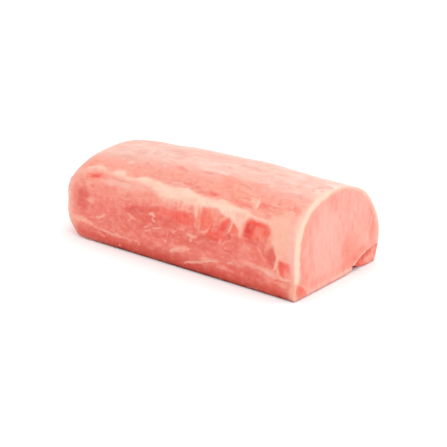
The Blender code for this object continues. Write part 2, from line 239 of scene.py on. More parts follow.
# Patches: along, round, half length, half height, tilt in degrees, colour, strength, relief
PATCHES = (
    (-103, 76, 7, 4, -20, "apricot", 0.7, 0.0),
    (-107, 80, 6, 3, -30, "dusky", 0.5, -0.2),
    (-88.5, 61, 8.5, 3.5, 4, "coral", 1.0, -0.5),
    (-92, 60.5, 4, 1.8, 0, "garnet", 0.35, -0.2),
    (-90, 55, 9, 3.0, 0, "apricot", 0.5, 0.1),
    (-97, 38, 7.5, 11, 10, "wine", 0.62, -0.5),
    (-96, 43, 7, 4, 0, "wine", 0.3, -0.3),
    (-80, 50, 12, 3, 6, "rosy", 0.5, 0.0),
    (-69, 50, 11, 4.5, 0, "rosy", 0.7, 0.1),
    (-112, 26, 6, 12, 0, "flesh", 0.45, 0.0),
    (-74, 33, 16, 8, 0, "flesh", 0.4, 0.0),
    (-55, 54, 5.5, 6.5, 0, "salmon", 0.75, 0.2),
    (-48, 49, 1.5, 1.5, 0, "wine", 0.5, -0.2),
    (-48, 56, 8, 3, 0, "membrane", 0.5, 0.1),
    (-64, 57.5, 14, 2.2, 2, "membrane", 0.5, 0.1),
    (-51, 71, 7, 7, 10, "salmon", 0.8, -0.2),
    (-75, 64.6, 5, 1.5, -12, "rosy", 0.7, -0.2),
    (-82, 9, 24, 4, 2, "wine", 0.4, 0.0),
    (-30, 40.5, 17, 3.2, 10, "wine", 0.6, -0.5),
    (-40, 38, 8, 4, 14, "wine", 0.4, -0.3),
    (-27, 32, 9, 5, 0, "wine", 0.35, -0.4),
    (-22, 51, 9, 4, 0, "rosy", 0.5, 0.0),
    (-30, 52, 8, 3, 0, "apricot", 0.4, 0.1),
    (-34, 58.6, 8, 2.6, 0, "membrane", 0.5, 0.1),
    (-3, 41.5, 15, 5.0, 6, "coral", 0.48, -0.4),
    (15, 41.5, 11, 5.0, 0, "coral", 0.72, -0.5),
    (-8, 35, 10, 5, 0, "wine", 0.22, -0.2),
    (0, 37, 5, 4, 0, "wine", 0.3, -0.2),
    (38.2, 45.5, 6.8, 9, -12, "tangerine", 0.8, -0.6),
    (34.2, 46, 2.0, 7, -8, "coral", 0.5, -0.2),
    (42.8, 42, 2.2, 6, -14, "coral", 0.5, -0.2),
    (47, 50, 5, 5.5, 0, "apricot", 0.6, -0.2),
    (48, 34.5, 9, 4, 4, "coral", 0.85, -0.5),
    (40, 31.5, 12, 2.2, 8, "wine", 0.55, -0.3),
    (55.5, 44, 2.8, 8.6, -38, "coral", 0.85, -0.7),
    (54, 41.5, 2.4, 3, -20, "garnet", 0.35, -0.2),
    (61.8, 37.5, 1.9, 1.9, 0, "garnet", 0.7, -0.5),
    (66.5, 43, 3.0, 4.8, 8, "tangerine", 0.9, -0.4),
    (66, 35.5, 6, 3, 0, "wine", 0.35, -0.2),
    (81, 46.5, 5.8, 8.2, -6, "coral", 0.95, -0.6),
    (79.8, 46, 3.6, 5.6, -10, "garnet", 0.8, -0.4),
    (88, 52, 8, 2.4, -6, "coral", 0.95, -0.4),
    (97, 49, 4, 4.8, -14, "coral", 0.85, -0.3),
    (90, 44.5, 5, 5.5, 0, "tangerine", 0.9, 0.2),
    (99.5, 42, 2.2, 5, 10, "ember", 0.5, 0.0),
    (92.5, 39.5, 4, 2.4, 0, "wine", 0.3, -0.2),
    (84, 38.5, 6, 2, -6, "wine", 0.5, -0.2),
    (96.5, 35.5, 3.4, 6.5, 24, "wine", 0.4, -0.3),
    (93, 28, 9, 6.5, 0, "ember", 0.5, -0.1),
    (103, 31, 4.4, 8.5, -6, "wine", 0.85, -0.5),
    (78, 31, 7, 5, 0, "flesh", 0.5, 0.1),
    (84, 13.4, 12, 3.0, -6, "wine", 0.5, -0.2),
    (115, 24.2, 5.8, 7.0, 0, "coral", 0.85, -0.5),
    (112, 26.5, 3, 3.6, 0, "garnet", 0.4, -0.2),
    (118, 20, 3.4, 3.4, 0, "salmon", 0.7, 0.1),
    (10, 66.6, 20, 2.4, 0, "dusky", 0.55, -0.1),
    (37, 64.6, 7, 2.4, 4, "coral", 0.75, -0.2),
    (64, 64.6, 6, 2, 0, "coral", 0.6, -0.1),
    (73, 63.5, 4, 1.6, 0, "coral", 0.4, -0.1),
    (90, 66.6, 7, 3.0, 4, "coral", 0.6, -0.2),
    (106, 62, 8, 4.6, 0, "coral", 0.6, -0.2),
    (100, 64, 14, 5, 0, "salmon", 0.7, 0.0),
    (18, 67, 12, 3, 0, "rosy", 0.55, -0.1),
    (-57, 59, 20, 2.6, 0, "salmon", 0.45, 0.0),
    (113, 70.6, 5.5, 4, 10, "coral", 0.4, -0.4),
    (104, 78, 14, 6, 0, "salmon", 0.7, 0.0),
    (45, 82, 9, 3.4, 0, "apricot", 0.7, 0.0),
    (45, 76, 8, 5, 0, "rosy", 0.4, 0.0),
    (70, 84, 9, 3.4, 0, "apricot", 0.55, 0.0),
    (62, 72, 14, 6, -16, "apricot", 0.5, 0.2),
    (-10, 76, 18, 6, 0, "salmon", 0.6, -0.1),
    (20, 74, 22, 5, -4, "salmon", 0.6, 0.0),
    (10, 69, 5, 1, 0, "coral", 0.4, -0.3),
    (-6, 82.5, 6, 2, -14, "coral", 0.4, -0.3),
    (-62, 94, 7, 4.5, -20, "dusky", 0.8, -0.4),
    (-82, 96, 6, 4, 0, "dusky", 0.45, -0.2),
    (-68, 85, 8, 3.5, -10, "dusky", 0.7, -0.3),
    (-78, 104, 12, 5, 0, "membrane", 0.6, 0.0),
    (-72, 124, 14, 6, 0, "dusky", 0.5, -0.2),
    (-33, 107, 12, 4, -6, "dusky", 0.8, -0.4),
    (-48, 96.5, 6, 4, -20, "dusky", 0.7, -0.3),
    (-23, 96.5, 10, 2.6, -10, "dusky", 0.75, -0.4),
    (-2, 109, 8, 6, 0, "blush", 0.7, -0.2),
    (12, 112, 12, 5, 0, "blush", 0.6, -0.2),
    (28, 111, 12, 6, 0, "dusky", 0.4, -0.2),
    (50, 105.5, 13, 4, -8, "dusky", 0.7, -0.3),
    (28, 93, 7, 3.4, 0, "dusky", 0.4, -0.1),
    (32.6, 97.6, 2.6, 2, 0, "dusky", 0.9, -0.4),
    (60, 95, 14, 5, 0, "blush", 0.45, 0.0),
    (74, 104, 5, 9, -46, "dusky", 0.6, -0.3),
    (88, 93.5, 10, 4.4, -16, "dusky", 0.6, -0.2),
    (98, 93, 6, 5, -40, "blush", 0.8, -0.3),
    (100, 108, 5, 5, -40, "dusky", 0.5, -0.3),
    (112, 93, 8, 5, 0, "blush", 0.6, -0.1),
    (118, 107, 2, 6, -50, "dusky", 0.7, -0.3),
    (110, 84, 8, 2.4, 0, "dusky", 0.6, -0.3),
    (-1, 94, 14, 3, 4, "pale", 0.7, 0.2),
    (34, 101.5, 8, 2.6, 0, "pale", 0.65, 0.2),
    (20, 96.6, 5, 2, -20, "pale", 0.6, 0.2),
    (48, 98, 16, 2.2, 0, "pale", 0.5, 0.2),
    (22, 88.4, 16, 2.2, 0, "pale", 0.6, 0.2),
    (-30, 99, 6, 2.4, -20, "pale", 0.5, 0.2),
    (62, 112, 8, 5, 0, "pale", 0.5, 0.1),
    (90, 112, 8, 5, 0, "pale", 0.5, 0.1),
)
SHOULDER = 58               # patches centred further round than this lie on top
SIDE_PATCHES = tuple(patch for patch in PATCHES if patch[1] <= SHOULDER)
TOP_PATCHES = tuple(patch for patch in PATCHES if patch[1] > SHOULDER)
# Swellings that the construction model leaves out, in millimetres of height
BULGES = (
    (-54, 134, 48, 26, 0, 1.7), (132, 173, 46, 28, 0, 2.0), (12, 136, 42, 22, 0, 1.0),
    (-114, 112, 12, 26, 0, 1.2),
)
END_BULGE = 1.3             # the near half of the rounded end is fuller by this much
END_BULGE_X = (-0.120, -0.102)  # where the end's fullness starts to fade, and is gone
END_BULGE_RISE = (0.010, 0.030) # heights above and below the middle where it fades out
END_BULGE_Y = (-0.025, 0.015)
TOP_FROM = (56, 84)         # distances round the dome between which side turns into top
TOP_TO = (176, 196)
SEAM_DEPTH = 0.25           # millimetres of the fine groove between the fat and the meat on the knife cut
SEAM_WIDTH = 0.7
CHAIN_HOLLOW = 1.7          # the chain muscle lies this many millimetres behind the knife cut
# Peach-coloured fat that fills the near side behind the knife cut, and other broad fat
FAT_PADS = (
    (110, 50, 9.5, 19, 0, "peach", 0.95, 0.5),
    (104, 56, 8, 6, 0, "peach", 0.8, 0.3),
    (72.5, 50, 5.5, 8, 10, "peach", 0.6, 0.3),
    (90, 19.4, 18, 1.9, -3, "veil", 0.6, 0.3),
    (102, 17, 7, 1.9, -10, "membrane", 0.5, 0.2),
    (-117, 27, 4.5, 17, 0, "peach", 0.8, 0.3),
    (123, 44, 4.5, 24, 0, "membrane", 0.6, 0.0),
    (27.3, 50, 1.8, 5, 0, "peach", 0.8, 0.4),
    (51.5, 47.5, 2.2, 5, 8, "apricot", 0.85, 0.4),
)
# Strokes of fat: points (along, round), half width, colour, strength, relief
FAT_STROKES = (
    (((27.2, 55), (27.4, 49), (27.8, 45)), 1.4, "peach", 0.9, 0.5),
    (((27.8, 46), (28.2, 38)), 1.1, "apricot", 0.75, 0.4),
    (((30.5, 48), (30, 41), (31.5, 35.5), (36, 34.5), (41, 38), (43.5, 44)), 1.0, "apricot", 0.6, 0.4),
    (((33, 34.5), (38, 36.2), (42, 39)), 0.9, "veil", 0.5, 0.4),
    (((64.8, 50), (62.6, 45), (60.8, 40.5)), 0.9, "peach", 0.8, 0.5),
    (((73, 50), (72.6, 44), (71.8, 39.5)), 1.6, "peach", 0.85, 0.5),
    (((91, 45), (92.6, 41)), 0.7, "veil", 0.7, 0.3),
    (((93.6, 44.6), (95, 41)), 0.6, "veil", 0.55, 0.3),
    (((101.5, 52), (103, 46), (100.8, 39.5), (97, 35.5)), 1.7, "apricot", 0.75, 0.4),
    (((90, 35), (93, 31), (97, 26)), 1.4, "veil", 0.4, 0.2),
    (((107.5, 39), (109.2, 33), (107.4, 26), (104.6, 20.5)), 1.5, "peach", 0.85, 0.5),
    (((109.6, 31), (108.6, 23), (110.4, 17.4), (116, 16), (121, 17)), 1.2, "peach", 0.8, 0.4),
    (((111, 31.2), (121, 31.2)), 1.0, "peach", 0.7, 0.3),
    (((-104, 68), (-95, 68.6), (-86, 69.5), (-80, 68)), 1.4, "cream", 0.35, 0.3),
    (((-69, 65.4), (-63, 66.4), (-57, 65)), 1.6, "cream", 0.4, 0.3),
    (((76, 71), (79, 68.6), (81.6, 63)), 2.8, "peach", 0.7, 0.4),
    (((80.4, 72.4), (81.6, 68), (82.6, 64)), 1.2, "cream", 0.6, 0.4),
    (((52, 79), (55, 75.5), (58, 72)), 1.5, "peach", 0.3, 0.2),
    (((74, 68.6), (79, 69)), 0.6, "cream", 0.6, 0.3),
    (((94, 66.6), (100, 65.8), (105, 66.2)), 0.8, "peach", 0.6, 0.3),
    (((96, 63), (102, 62.4)), 0.8, "peach", 0.5, 0.3),
    (((111, 60), (114, 64), (117, 67)), 1.5, "peach", 0.35, 0.2),
    # A glint on the band of fat: painted highlight.
    (((9, 65), (14, 64.4), (19, 63)), 0.8, "pearl", 0.7, 0.3),
    (((-5, 67.6), (2, 68.4), (8, 67.6)), 0.8, "membrane", 0.7, 0.3),
    (((-96, 51), (-90, 50), (-86, 48)), 1.0, "veil", 0.6, 0.3),
    (((-95, 54), (-89, 53.5)), 1.1, "veil", 0.6, 0.3),
    (((-82.5, 24), (-76.5, 25), (-71.5, 27.5)), 1.2, "veil", 0.75, 0.4),
    (((-92, 38), (-88, 38.6), (-84, 40)), 2.8, "veil", 0.55, 0.3),
    (((-46, 35), (-42, 32.5), (-37, 31)), 1.1, "veil", 0.65, 0.4),
    (((-45, 28), (-40, 31.5)), 0.9, "veil", 0.5, 0.3),
    (((-22.5, 38.5), (-18.5, 39.4), (-15, 38)), 1.9, "veil", 0.7, 0.5),
    (((-19.5, 35.6), (-14.5, 32.6)), 1.5, "veil", 0.6, 0.5),
    (((-19, 27), (-14.5, 27.6), (-10, 29.5)), 1.0, "veil", 0.55, 0.3),
    (((-28, 25.5), (-22, 28)), 1.0, "veil", 0.6, 0.4),
    (((-28, 23), (-21, 24.6)), 0.9, "veil", 0.6, 0.4),
    (((-24, 30), (-18.5, 30)), 0.9, "veil", 0.5, 0.3),
    (((-60, 21), (-57.5, 20.4), (-57, 15.5)), 0.9, "veil", 0.4, 0.3),
    (((-6.4, 18.2), (-4.8, 18)), 1.1, "membrane", 0.6, 0.5),
    (((-3.4, 27), (-2.4, 21.5)), 1.0, "veil", 0.45, 0.3),
    (((3, 28.5), (7, 29.5)), 0.8, "veil", 0.5, 0.3),
    (((11, 31.5), (17, 34.5)), 0.9, "veil", 0.5, 0.3),
    (((19, 31), (22.5, 29.2), (25, 29), (28, 30)), 1.5, "veil", 0.75, 0.4),
    (((24, 29), (21, 24)), 1.1, "veil", 0.7, 0.3),
    (((50.5, 29.5), (54, 33)), 0.9, "veil", 0.5, 0.3),
    (((54, 28.5), (57.5, 32)), 0.8, "veil", 0.5, 0.3),
    (((73, 31), (78, 33), (81, 30.6)), 2.6, "veil", 0.4, 0.3),
    (((80.5, 26), (84, 24)), 0.9, "veil", 0.45, 0.3),
    (((59.5, 15.6), (63, 16.6), (66.5, 16)), 0.9, "veil", 0.7, 0.4),
    (((0, 12), (5, 14.4), (12, 17), (20, 17.2)), 1.8, "veil", 0.8, 0.5),
    (((2, 12.4), (9, 13.4), (17, 15.4)), 0.9, "veil", 0.5, 0.4),
    (((17, 7), (24, 8.4), (30, 10), (38, 12), (44, 14), (52, 15.8)), 1.2, "veil", 0.8, 0.5),
    (((30, 12.5), (37, 14), (44, 15), (50, 16.6)), 0.9, "veil", 0.6, 0.4),
    (((50, 10.4), (58, 10.6), (67, 10.2)), 0.9, "veil", 0.35, 0.3),
    (((-119, 6), (-113, 14), (-101, 17.6), (-88, 16.4)), 2.4, "veil", 0.75, 0.4),
    (((-88, 16.4), (-79, 13.6), (-60, 12.6), (-50, 12), (-40, 12.2)), 1.1, "veil", 0.6, 0.4),
    (((-40, 13), (-34, 11.8), (-32, 9.8)), 0.9, "veil", 0.5, 0.3),
    (((-80, 10.6), (-76, 9), (-71.5, 8.6)), 1.0, "veil", 0.4, 0.4),
    (((-55, 5.8), (-53, 4)), 0.8, "veil", 0.5, 0.4),
    (((-61, 79.6), (-57, 79)), 1.6, "pale", 0.7, 0.3),
    (((30, 88), (36, 87.2), (41, 85.4)), 0.9, "pearl", 0.5, 0.3),
    (((12, 97.5), (18, 96.4), (24, 94)), 1.0, "pale", 0.7, 0.3),
    (((70, 100), (73, 96.6), (76.4, 92.6)), 1.3, "pale", 0.4, 0.3),
    (((60, 76), (70, 73.6), (78, 74.4)), 1.1, "peach", 0.6, 0.3),
    (((66, 68.4), (74, 66.6), (79, 66.8)), 0.7, "peach", 0.7, 0.3),
    (((83, 80), (86, 77), (88.5, 73.6)), 1.0, "veil", 0.7, 0.3),
    (((92, 70.4), (100, 70), (106, 71.4)), 0.9, "peach", 0.6, 0.3),
    (((96, 78.6), (106, 79.4), (116, 78.4), (124, 78.6)), 1.0, "peach", 0.5, 0.3),
    (((110.4, 72.4), (113.6, 71.6)), 0.8, "pale", 0.4, 0.2),
    (((110.6, 67.2), (113.6, 68.6), (117, 67)), 0.9, "pale", 0.4, 0.2),
    (((98, 61.4), (102, 60.8)), 0.9, "pale", 0.4, 0.2),
    (((4, 92.6), (12, 93.6), (18, 92.4)), 1.0, "pale", 0.5, 0.3),
    (((-34, 99), (-29, 97.4)), 1.4, "pale", 0.6, 0.3),
    (((-25, 81.6), (-21, 81.4)), 1.1, "pale", 0.5, 0.3),
    (((80, 86), (84, 88)), 1.2, "pale", 0.6, 0.3),
)
# Fine dark cracks and pits: points, half width, strength
CRACKS = (
    (((0, 80.6), (10, 82), (20, 84), (30, 83)), 0.8, 0.3),
    (((19, 77.8), (25, 76), (33, 74.4)), 0.8, 0.35),
    (((52, 80), (58, 80.4), (66, 78.6), (79, 77.6)), 0.8, 0.35),
    (((84, 74.4), (92, 73.6), (100, 75)), 0.7, 0.35), (((72, 72.6), (82, 71), (85, 69)), 0.7, 0.35),
    (((85, 68.6), (90, 65.8), (95, 66)), 0.9, 0.5), (((95, 65.4), (101, 66.4), (107, 65.6)), 0.6, 0.45),
    (((100, 71.8), (107, 71), (110, 73.4)), 0.7, 0.4),
    (((42, 62.4), (50, 63.8), (55, 64.2)), 0.6, 0.45), (((70, 64.6), (74, 62.8), (80, 63.8)), 0.7, 0.4),
    (((20, 64), (28, 65.2)), 0.6, 0.4), (((72, 99), (77, 94), (80, 91)), 0.8, 0.3),
    (((-30, 90.6), (-23, 89), (-18, 85.4)), 0.9, 0.3), (((60, 68), (68, 69.6), (72, 69)), 0.7, 0.35),
    (((112, 83), (119, 82.6), (126, 82)), 0.8, 0.3), (((-12, 70), (-4, 69), (4, 69.6)), 0.6, 0.3),
    (((-44.5, 82), (-41, 80.4)), 0.9, 0.7), (((-38.5, 79.4), (-35.5, 77.4)), 0.7, 0.6),
    (((-52, 76), (-46, 75), (-41, 76)), 0.6, 0.45), (((15, 84.2), (20, 84.4), (25, 84)), 0.7, 0.5),
    (((-27, 105), (-20, 101), (-15, 98)), 1.0, 0.4), (((-20, 88), (-17, 85.6)), 0.9, 0.5),
    (((30.5, 98.4), (33, 96.6)), 1.2, 0.4), (((40, 89.4), (46, 89)), 0.9, 0.35),
    (((56, 79.4), (60, 80.2), (68, 78.4)), 0.8, 0.45), (((50.5, 78), (52.5, 77)), 0.6, 0.4),
    (((50, 75), (54, 72.4), (56, 71)), 0.6, 0.4), (((95, 92.4), (97.5, 90.4)), 1.0, 0.5),
    (((100, 98.6), (103, 96)), 1.0, 0.5), (((109, 85), (114, 82.4)), 0.8, 0.4),
    (((118, 114), (122, 111)), 1.2, 0.4), (((120, 102), (123, 99)), 1.2, 0.35),
    (((6, 68.6), (10, 70), (14, 68.6)), 0.6, 0.4), (((-104, 70.6), (-98, 71.4)), 0.6, 0.4),
    (((22, 63.6), (28, 65)), 0.6, 0.4), (((-4, 64.6), (0, 63.6)), 0.6, 0.4),
    (((34, 59.4), (37, 58.4)), 0.8, 0.3), (((9, 54), (12, 54)), 0.8, 0.3),
    (((40, 65.4), (41.5, 65)), 0.6, 0.5), (((82, 69), (84, 67)), 0.6, 0.3),
    (((96, 67.4), (98, 67)), 0.6, 0.4), (((113, 73), (115, 72)), 1.0, 0.5),
    (((111, 69), (113, 66.6)), 0.7, 0.4), (((-88.6, 52), (-86.6, 51)), 0.7, 0.5),
    (((-90.6, 57.6), (-88.6, 57)), 0.7, 0.5), (((-80, 63), (-62, 60.2), (-48, 60)), 0.6, 0.5),
    (((-22.5, 36.8), (-19, 35.8)), 1.0, 0.7), (((-17, 36), (-15.6, 34.6)), 0.8, 0.6),
    (((-18.4, 32), (-15.4, 31.6)), 0.8, 0.4), (((-44, 29.4), (-42, 28.6)), 0.9, 0.4),
    (((-40.6, 27), (-39, 28)), 0.7, 0.4), (((-13.6, 45), (-12.6, 43)), 1.1, 0.8),
    (((-5, 40), (-5.4, 33.4)), 0.7, 0.5), (((2.4, 46), (2.8, 36)), 0.8, 0.5),
    (((10, 40), (10.4, 34)), 0.6, 0.35), (((21, 42), (21.4, 36)), 0.6, 0.35),
    (((-108, 39), (-106, 38.4)), 0.7, 0.35), (((-92, 35.4), (-91, 34.6)), 1.0, 0.6),
    (((-102, 24), (-100, 24)), 1.0, 0.25), (((-87.6, 11.2), (-85.6, 10.6)), 0.9, 0.5),
    (((-79.6, 22.4), (-78, 22)), 0.6, 0.4), (((-58, 17), (-56, 16)), 0.8, 0.3),
    (((-18.6, 26), (-18, 21)), 0.8, 0.3), (((27.4, 34), (28.6, 33)), 0.6, 0.45),
    (((30, 29), (36, 30), (44, 31.4)), 0.7, 0.35), (((56, 36.6), (60, 37.4), (64, 37.6)), 0.9, 0.5),
    (((62.6, 49.4), (61, 45), (59.6, 41)), 0.6, 0.5), (((59, 50.6), (61, 49.6)), 0.7, 0.45),
    (((78, 48), (82, 43)), 0.7, 0.5), (((80, 49), (85, 44)), 0.7, 0.45),
    (((77, 44), (81, 40)), 0.7, 0.45), (((79, 40.6), (84, 39)), 0.7, 0.4),
    (((94.6, 46), (97, 43), (98, 40)), 0.7, 0.5), (((86, 48.6), (90, 49.8), (96, 47.6)), 0.7, 0.45),
    (((89, 43), (90, 40)), 0.6, 0.5), (((69, 28.6), (70.4, 27)), 0.8, 0.35),
    (((81, 36), (82, 35)), 0.8, 0.5), (((81.6, 31), (82.6, 30)), 0.8, 0.45),
    (((70, 17.6), (84, 16.6), (95, 16.4), (103, 13.6), (120, 13.4)), 0.6, 0.45),
    (((84, 7.4), (88, 8.6)), 0.6, 0.4), (((104.6, 22.6), (102, 21.6)), 0.7, 0.35),
    (((109, 27), (109.4, 22)), 0.7, 0.35), (((16, 4.6), (22, 6.0), (30, 7.4)), 0.9, 0.6),
    (((-40, 8.4), (-20, 8.8), (0, 8.2)), 0.9, 0.35), (((60, 13.4), (72, 14), (82, 13.4)), 0.7, 0.35),
)
END_SKIN_X = (-0.098, -0.117)   # where the skin over the rounded end starts to show, and is whole
END_SKIN_Y = (-0.030, 0.006)
END_SKIN_TOP = (0.054, 0.068)   # heights between which it fades out again
# Skin over the back of the rounded end: colours by height
END_SKIN = (
    (0, "lean"), (9, "flesh"), (19, "rosy"), (30, "apricot"), (41, "blush"), (54, "membrane"),
    (66, "pale"),
)

# ---------------------------------------------------------------- marks on the knife cut
# Thickness of the rim of fat, by distance round the dome
RIM = (
    (0, 4.4), (14, 5.4), (45, 5.6), (60, 5.0), (74, 4.6), (90, 5.2), (98, 4.6), (106, 3.2), (116, 1.9),
    (128, 1.2), (150, 1.0), (165, 1.6), (200, 1.5), (227, 1.5),
)
# Patches: y, z, half width, half height, tilt, colour, strength, relief
CUT_PATCHES = (
    (-18, 36, 20, 26, 0, "cut_light", 0.6, 0.0),
    (-16, 14, 18, 8, 0, "cut_light", 0.15, 0.0),
    (-46.5, 26, 2.6, 20, 0, "cut_red", 0.4, -0.1),
    (-44, 16, 3.4, 6, 20, "cut_red", 0.45, -0.2),
    (-37, 38, 3, 14, 0, "cut_red", 0.4, -0.1),
    (-30, 60, 3, 8, 0, "cut_red", 0.35, 0.0),
    (-42, 52, 5, 8, -30, "cut_red", 0.25, 0.0),
    (-7, 66, 5, 6, 0, "cut_red", 0.25, 0.0),
    (10, 66, 12, 6, -10, "cut_mid", 0.6, 0.0),
    (14, 28, 8, 12, 0, "cut_red", 0.4, -0.1),
    (10, 22, 5, 7, 0, "cut_red", 0.35, 0.0),
    (24, 20, 12, 10, 10, "cut_red", 0.5, -0.1),
    (36, 24, 10, 10, 0, "cut_mid", 0.6, 0.0),
    (50, 31, 4.8, 17, 4, "cut_red", 0.85, -0.1),
    (54, 20, 4, 10, 0, "cut_mid", 0.6, 0.0),
    (16, 10, 12, 5, 0, "cut_red", 0.6, -0.1),
    (28, 14, 9, 4, 12, "cut_red", 0.6, -0.1),
    (40, 17, 9, 3, 8, "cut_red", 0.5, 0.0),
    (-26, 8, 14, 3.4, 0, "cut_red", 0.3, -0.1),
    (-14, 3.2, 34, 2.6, 0, "cut_light", 0.6, 0.0),
    (-50, 7, 5.5, 5.4, -10, "ember", 0.75, -0.2),
    (-47.5, 8, 2.8, 3, 0, "coral", 0.8, -0.2),
    (-45, 4, 3, 3, 0, "ember", 0.6, -0.2),
)
CUT_CHAIN = (
    (40, 6, 20, 9, 0, "ember", 0.85, -0.3),
    (34, 5.4, 4.6, 2.8, -10, "coral", 0.85, 0.0),
    # Dark meat just under the seam: partly darker meat, partly painted shade under the eye muscle's lip.
    (43.5, 9.2, 8.5, 3.0, 8, "wine", 0.85, -0.6),
    (42, 7, 4, 3, 0, "garnet", 0.4, -0.3),
    (50.5, 4, 8, 3.4, 0, "veil", 0.75, 0.3),
    (57.5, 8, 3.6, 8, 0, "cut_mid", 0.85, 0.1),
    (55, 12.5, 4, 2, 0, "cut_red", 0.6, 0.1),
)
CUT_STROKES = (
    (((-56, 14.6), (-51, 13.4), (-46.5, 10.4), (-43, 6.4), (-41, 2)), 0.9, "peach", 0.85, 0.2),
    # A dark line under the seam: painted shadow of the eye muscle's lip on the chain muscle.
    (((31, 7.2), (36, 9.4), (42, 10.9), (49, 11.3)), 0.7, "deep", 0.6, -0.5),
    (((22.4, 5.8), (26, 7.2), (30, 8.8), (36, 11), (42, 12.5), (48, 13.2), (53, 12.4)),
     0.8, "cream", 0.8, 0.4),
    (((-10, 3.4), (6, 4.2), (21, 4.2)), 0.9, "cream", 0.5, 0.1),
    (((26, 8.6), (27, 11)), 0.6, "coral", 0.6, 0.0),
    (((29.4, 10.6), (31, 12.4)), 0.6, "coral", 0.5, 0.0),
    (((-25, 35), (-24, 31.4)), 0.8, "cut_light", 0.7, 0.2),
    (((20.8, 49), (21.4, 46.6)), 0.6, "cut_light", 0.6, 0.2),
    (((-13.6, 44), (-13, 41)), 0.6, "cut_light", 0.5, 0.1),
    (((5, 70), (5.6, 58)), 0.9, "cut_light", 0.4, 0.1),
)
CUT_CRACKS = (
    (((1, 53), (2.4, 49)), 0.7, 0.35), (((-1.6, 69), (-0.6, 64)), 0.7, 0.3),
    (((-9, 71), (-8, 66)), 0.6, 0.25), (((-12.4, 30), (-11.4, 24)), 0.9, 0.25),
    (((-11.6, 41), (-12, 37)), 0.7, 0.2), (((-25.6, 55), (-25, 50)), 0.8, 0.3),
    (((-46, 52), (-45.4, 47)), 0.7, 0.3), (((-50, 37), (-49.4, 31)), 0.6, 0.3),
    (((22, 50), (23.4, 47.4)), 0.6, 0.3), (((40, 36), (41.6, 31)), 0.8, 0.25),
    (((24, 34), (27, 29)), 0.9, 0.2), (((12, 22.4), (15, 20)), 0.8, 0.3),
    (((36, 27), (38.6, 25)), 0.7, 0.25), (((-43.6, 19), (-42, 15)), 0.7, 0.3),
    (((23, 13), (26.6, 11.4)), 0.8, 0.45), (((40, 11.6), (46, 13), (52, 12.8)), 0.8, 0.6),
    (((51.6, 13.4), (53.6, 12)), 0.8, 0.5), (((32, 9), (36, 6.6)), 0.6, 0.4),
    (((44, 3), (50, 2.4)), 0.7, 0.3), (((-54, 11), (-53.4, 4)), 0.7, 0.35),
)

SCRAP_CLEARANCE = 0.00010
SCRAP_RAGGEDNESS = 0.45
SCRAP_SMOOTH_ANGLE = 60.0
SCRAP_VEIL = 0.35           # share of peach over a scrap, which is thin enough to see through
# Scraps of silverskin: points on the chart, half width at the middle, how far the tips lift
SCRAPS = (
    (((-82, 24.2), (-76.5, 25.2), (-72, 27.2)), 0.7, 0.0), (((-91, 38), (-86, 39.6)), 1.2, 0.3),
    (((-22, 38.6), (-18, 39.2), (-15.4, 38.2)), 1.0, 0.3), (((-18.6, 35.2), (-15, 33)), 0.8, 0.3),
    (((-27.6, 25.6), (-22.6, 27.8)), 0.5, 0.3), (((-18.6, 27), (-14.5, 27.6), (-10.4, 29.3)), 0.5, 0.0),
    (((20, 30.6), (23.4, 29.2), (27, 29.6)), 0.8, 0.3), (((23.6, 28.6), (21.4, 24.6)), 0.6, 0.3),
    (((60, 15.8), (63, 16.6), (66, 16.1)), 0.5, 0.3), (((1, 12.6), (6, 14.8), (12, 16.8)), 0.8, 0.0),
    (((18, 7.4), (25, 8.8), (33, 10.8)), 0.6, 0.0), (((34, 11.2), (41, 13), (50, 15.4)), 0.6, 0.0),
    (((-78, 13.4), (-66, 12.8), (-58, 12.6)), 0.6, 0.0),
    (((9.6, 65), (14, 64.4), (18.6, 63.1)), 0.5, 0.0),
)


# ---------------------------------------------------------------- small maths
def smooth(low, high, x):
    """0 below low, 1 above high, with an S curve between."""
    t = np.clip((x - low) / (high - low), 0.0, 1.0)
    return t * t * (3 - 2 * t)


def spline(points, per_span=24):
    """A Catmull-Rom curve through the points, as an array, with its distances."""
    knots = np.array([points[0], *points, points[-1]], float)
    t = (np.arange(per_span) / per_span)[:, None]
    runs = []
    for a, b, c, d in zip(knots, knots[1:], knots[2:], knots[3:]):
        runs.append(0.5 * (2 * b + (c - a) * t + (2 * a - 5 * b + 4 * c - d) * t ** 2
                           + (3 * b - a - 3 * c + d) * t ** 3))
    line = np.vstack(runs + [knots[-1:]])
    along = np.concatenate([[0.0], np.cumsum(np.linalg.norm(np.diff(line, axis=0), axis=1))])
    return line, along


DOME, DOME_ARC = spline(DOME_POINTS)
GIRTH = DOME_ARC[-1]
DOME_ANGLE = np.arctan2(DOME[:, 0], DOME[:, 1] - MIDDLE_Z)
DOME_REACH = np.hypot(DOME[:, 0], DOME[:, 1] - MIDDLE_Z)


def dome_point(girth):
    """(y, z) on the dome at distances round it, in metres."""
    return (np.interp(girth, DOME_ARC, DOME[:, 0]), np.interp(girth, DOME_ARC, DOME[:, 1]))


def base_height(y):
    """The underside's shallow hollow beside the chain muscle."""
    u = np.clip(np.abs(y - ARCH_CENTRE) / ARCH_HALF_WIDTH, 0.0, 1.0)
    return ARCH_RISE * np.cos(np.pi / 2 * u) ** 2


def end_scale(x, inset=0.0):
    """How much of its size a section keeps on the rounded end."""
    t = np.clip((ROUND_X - x) / (END_LENGTH - inset), 0.0, 1.0)
    return (1 - t ** END_FULLNESS) ** (1 / END_BLUNTNESS)


def far_and_bow(x):
    """Share of the way to the rounded end, and how much taller the joint is in the middle."""
    return 0.5 - x / LENGTH, 1 + TOP_BOW * (1 - (2 * x / LENGTH) ** 2)


def bend(x, y, z):
    """Skews, widens and bows a straight prism of the cut's section."""
    far, bow = far_and_bow(x)
    return y * (1 + FAR_WIDENING * far) + SKEW * far, z * (1 - FAR_LOWERING * far) * bow


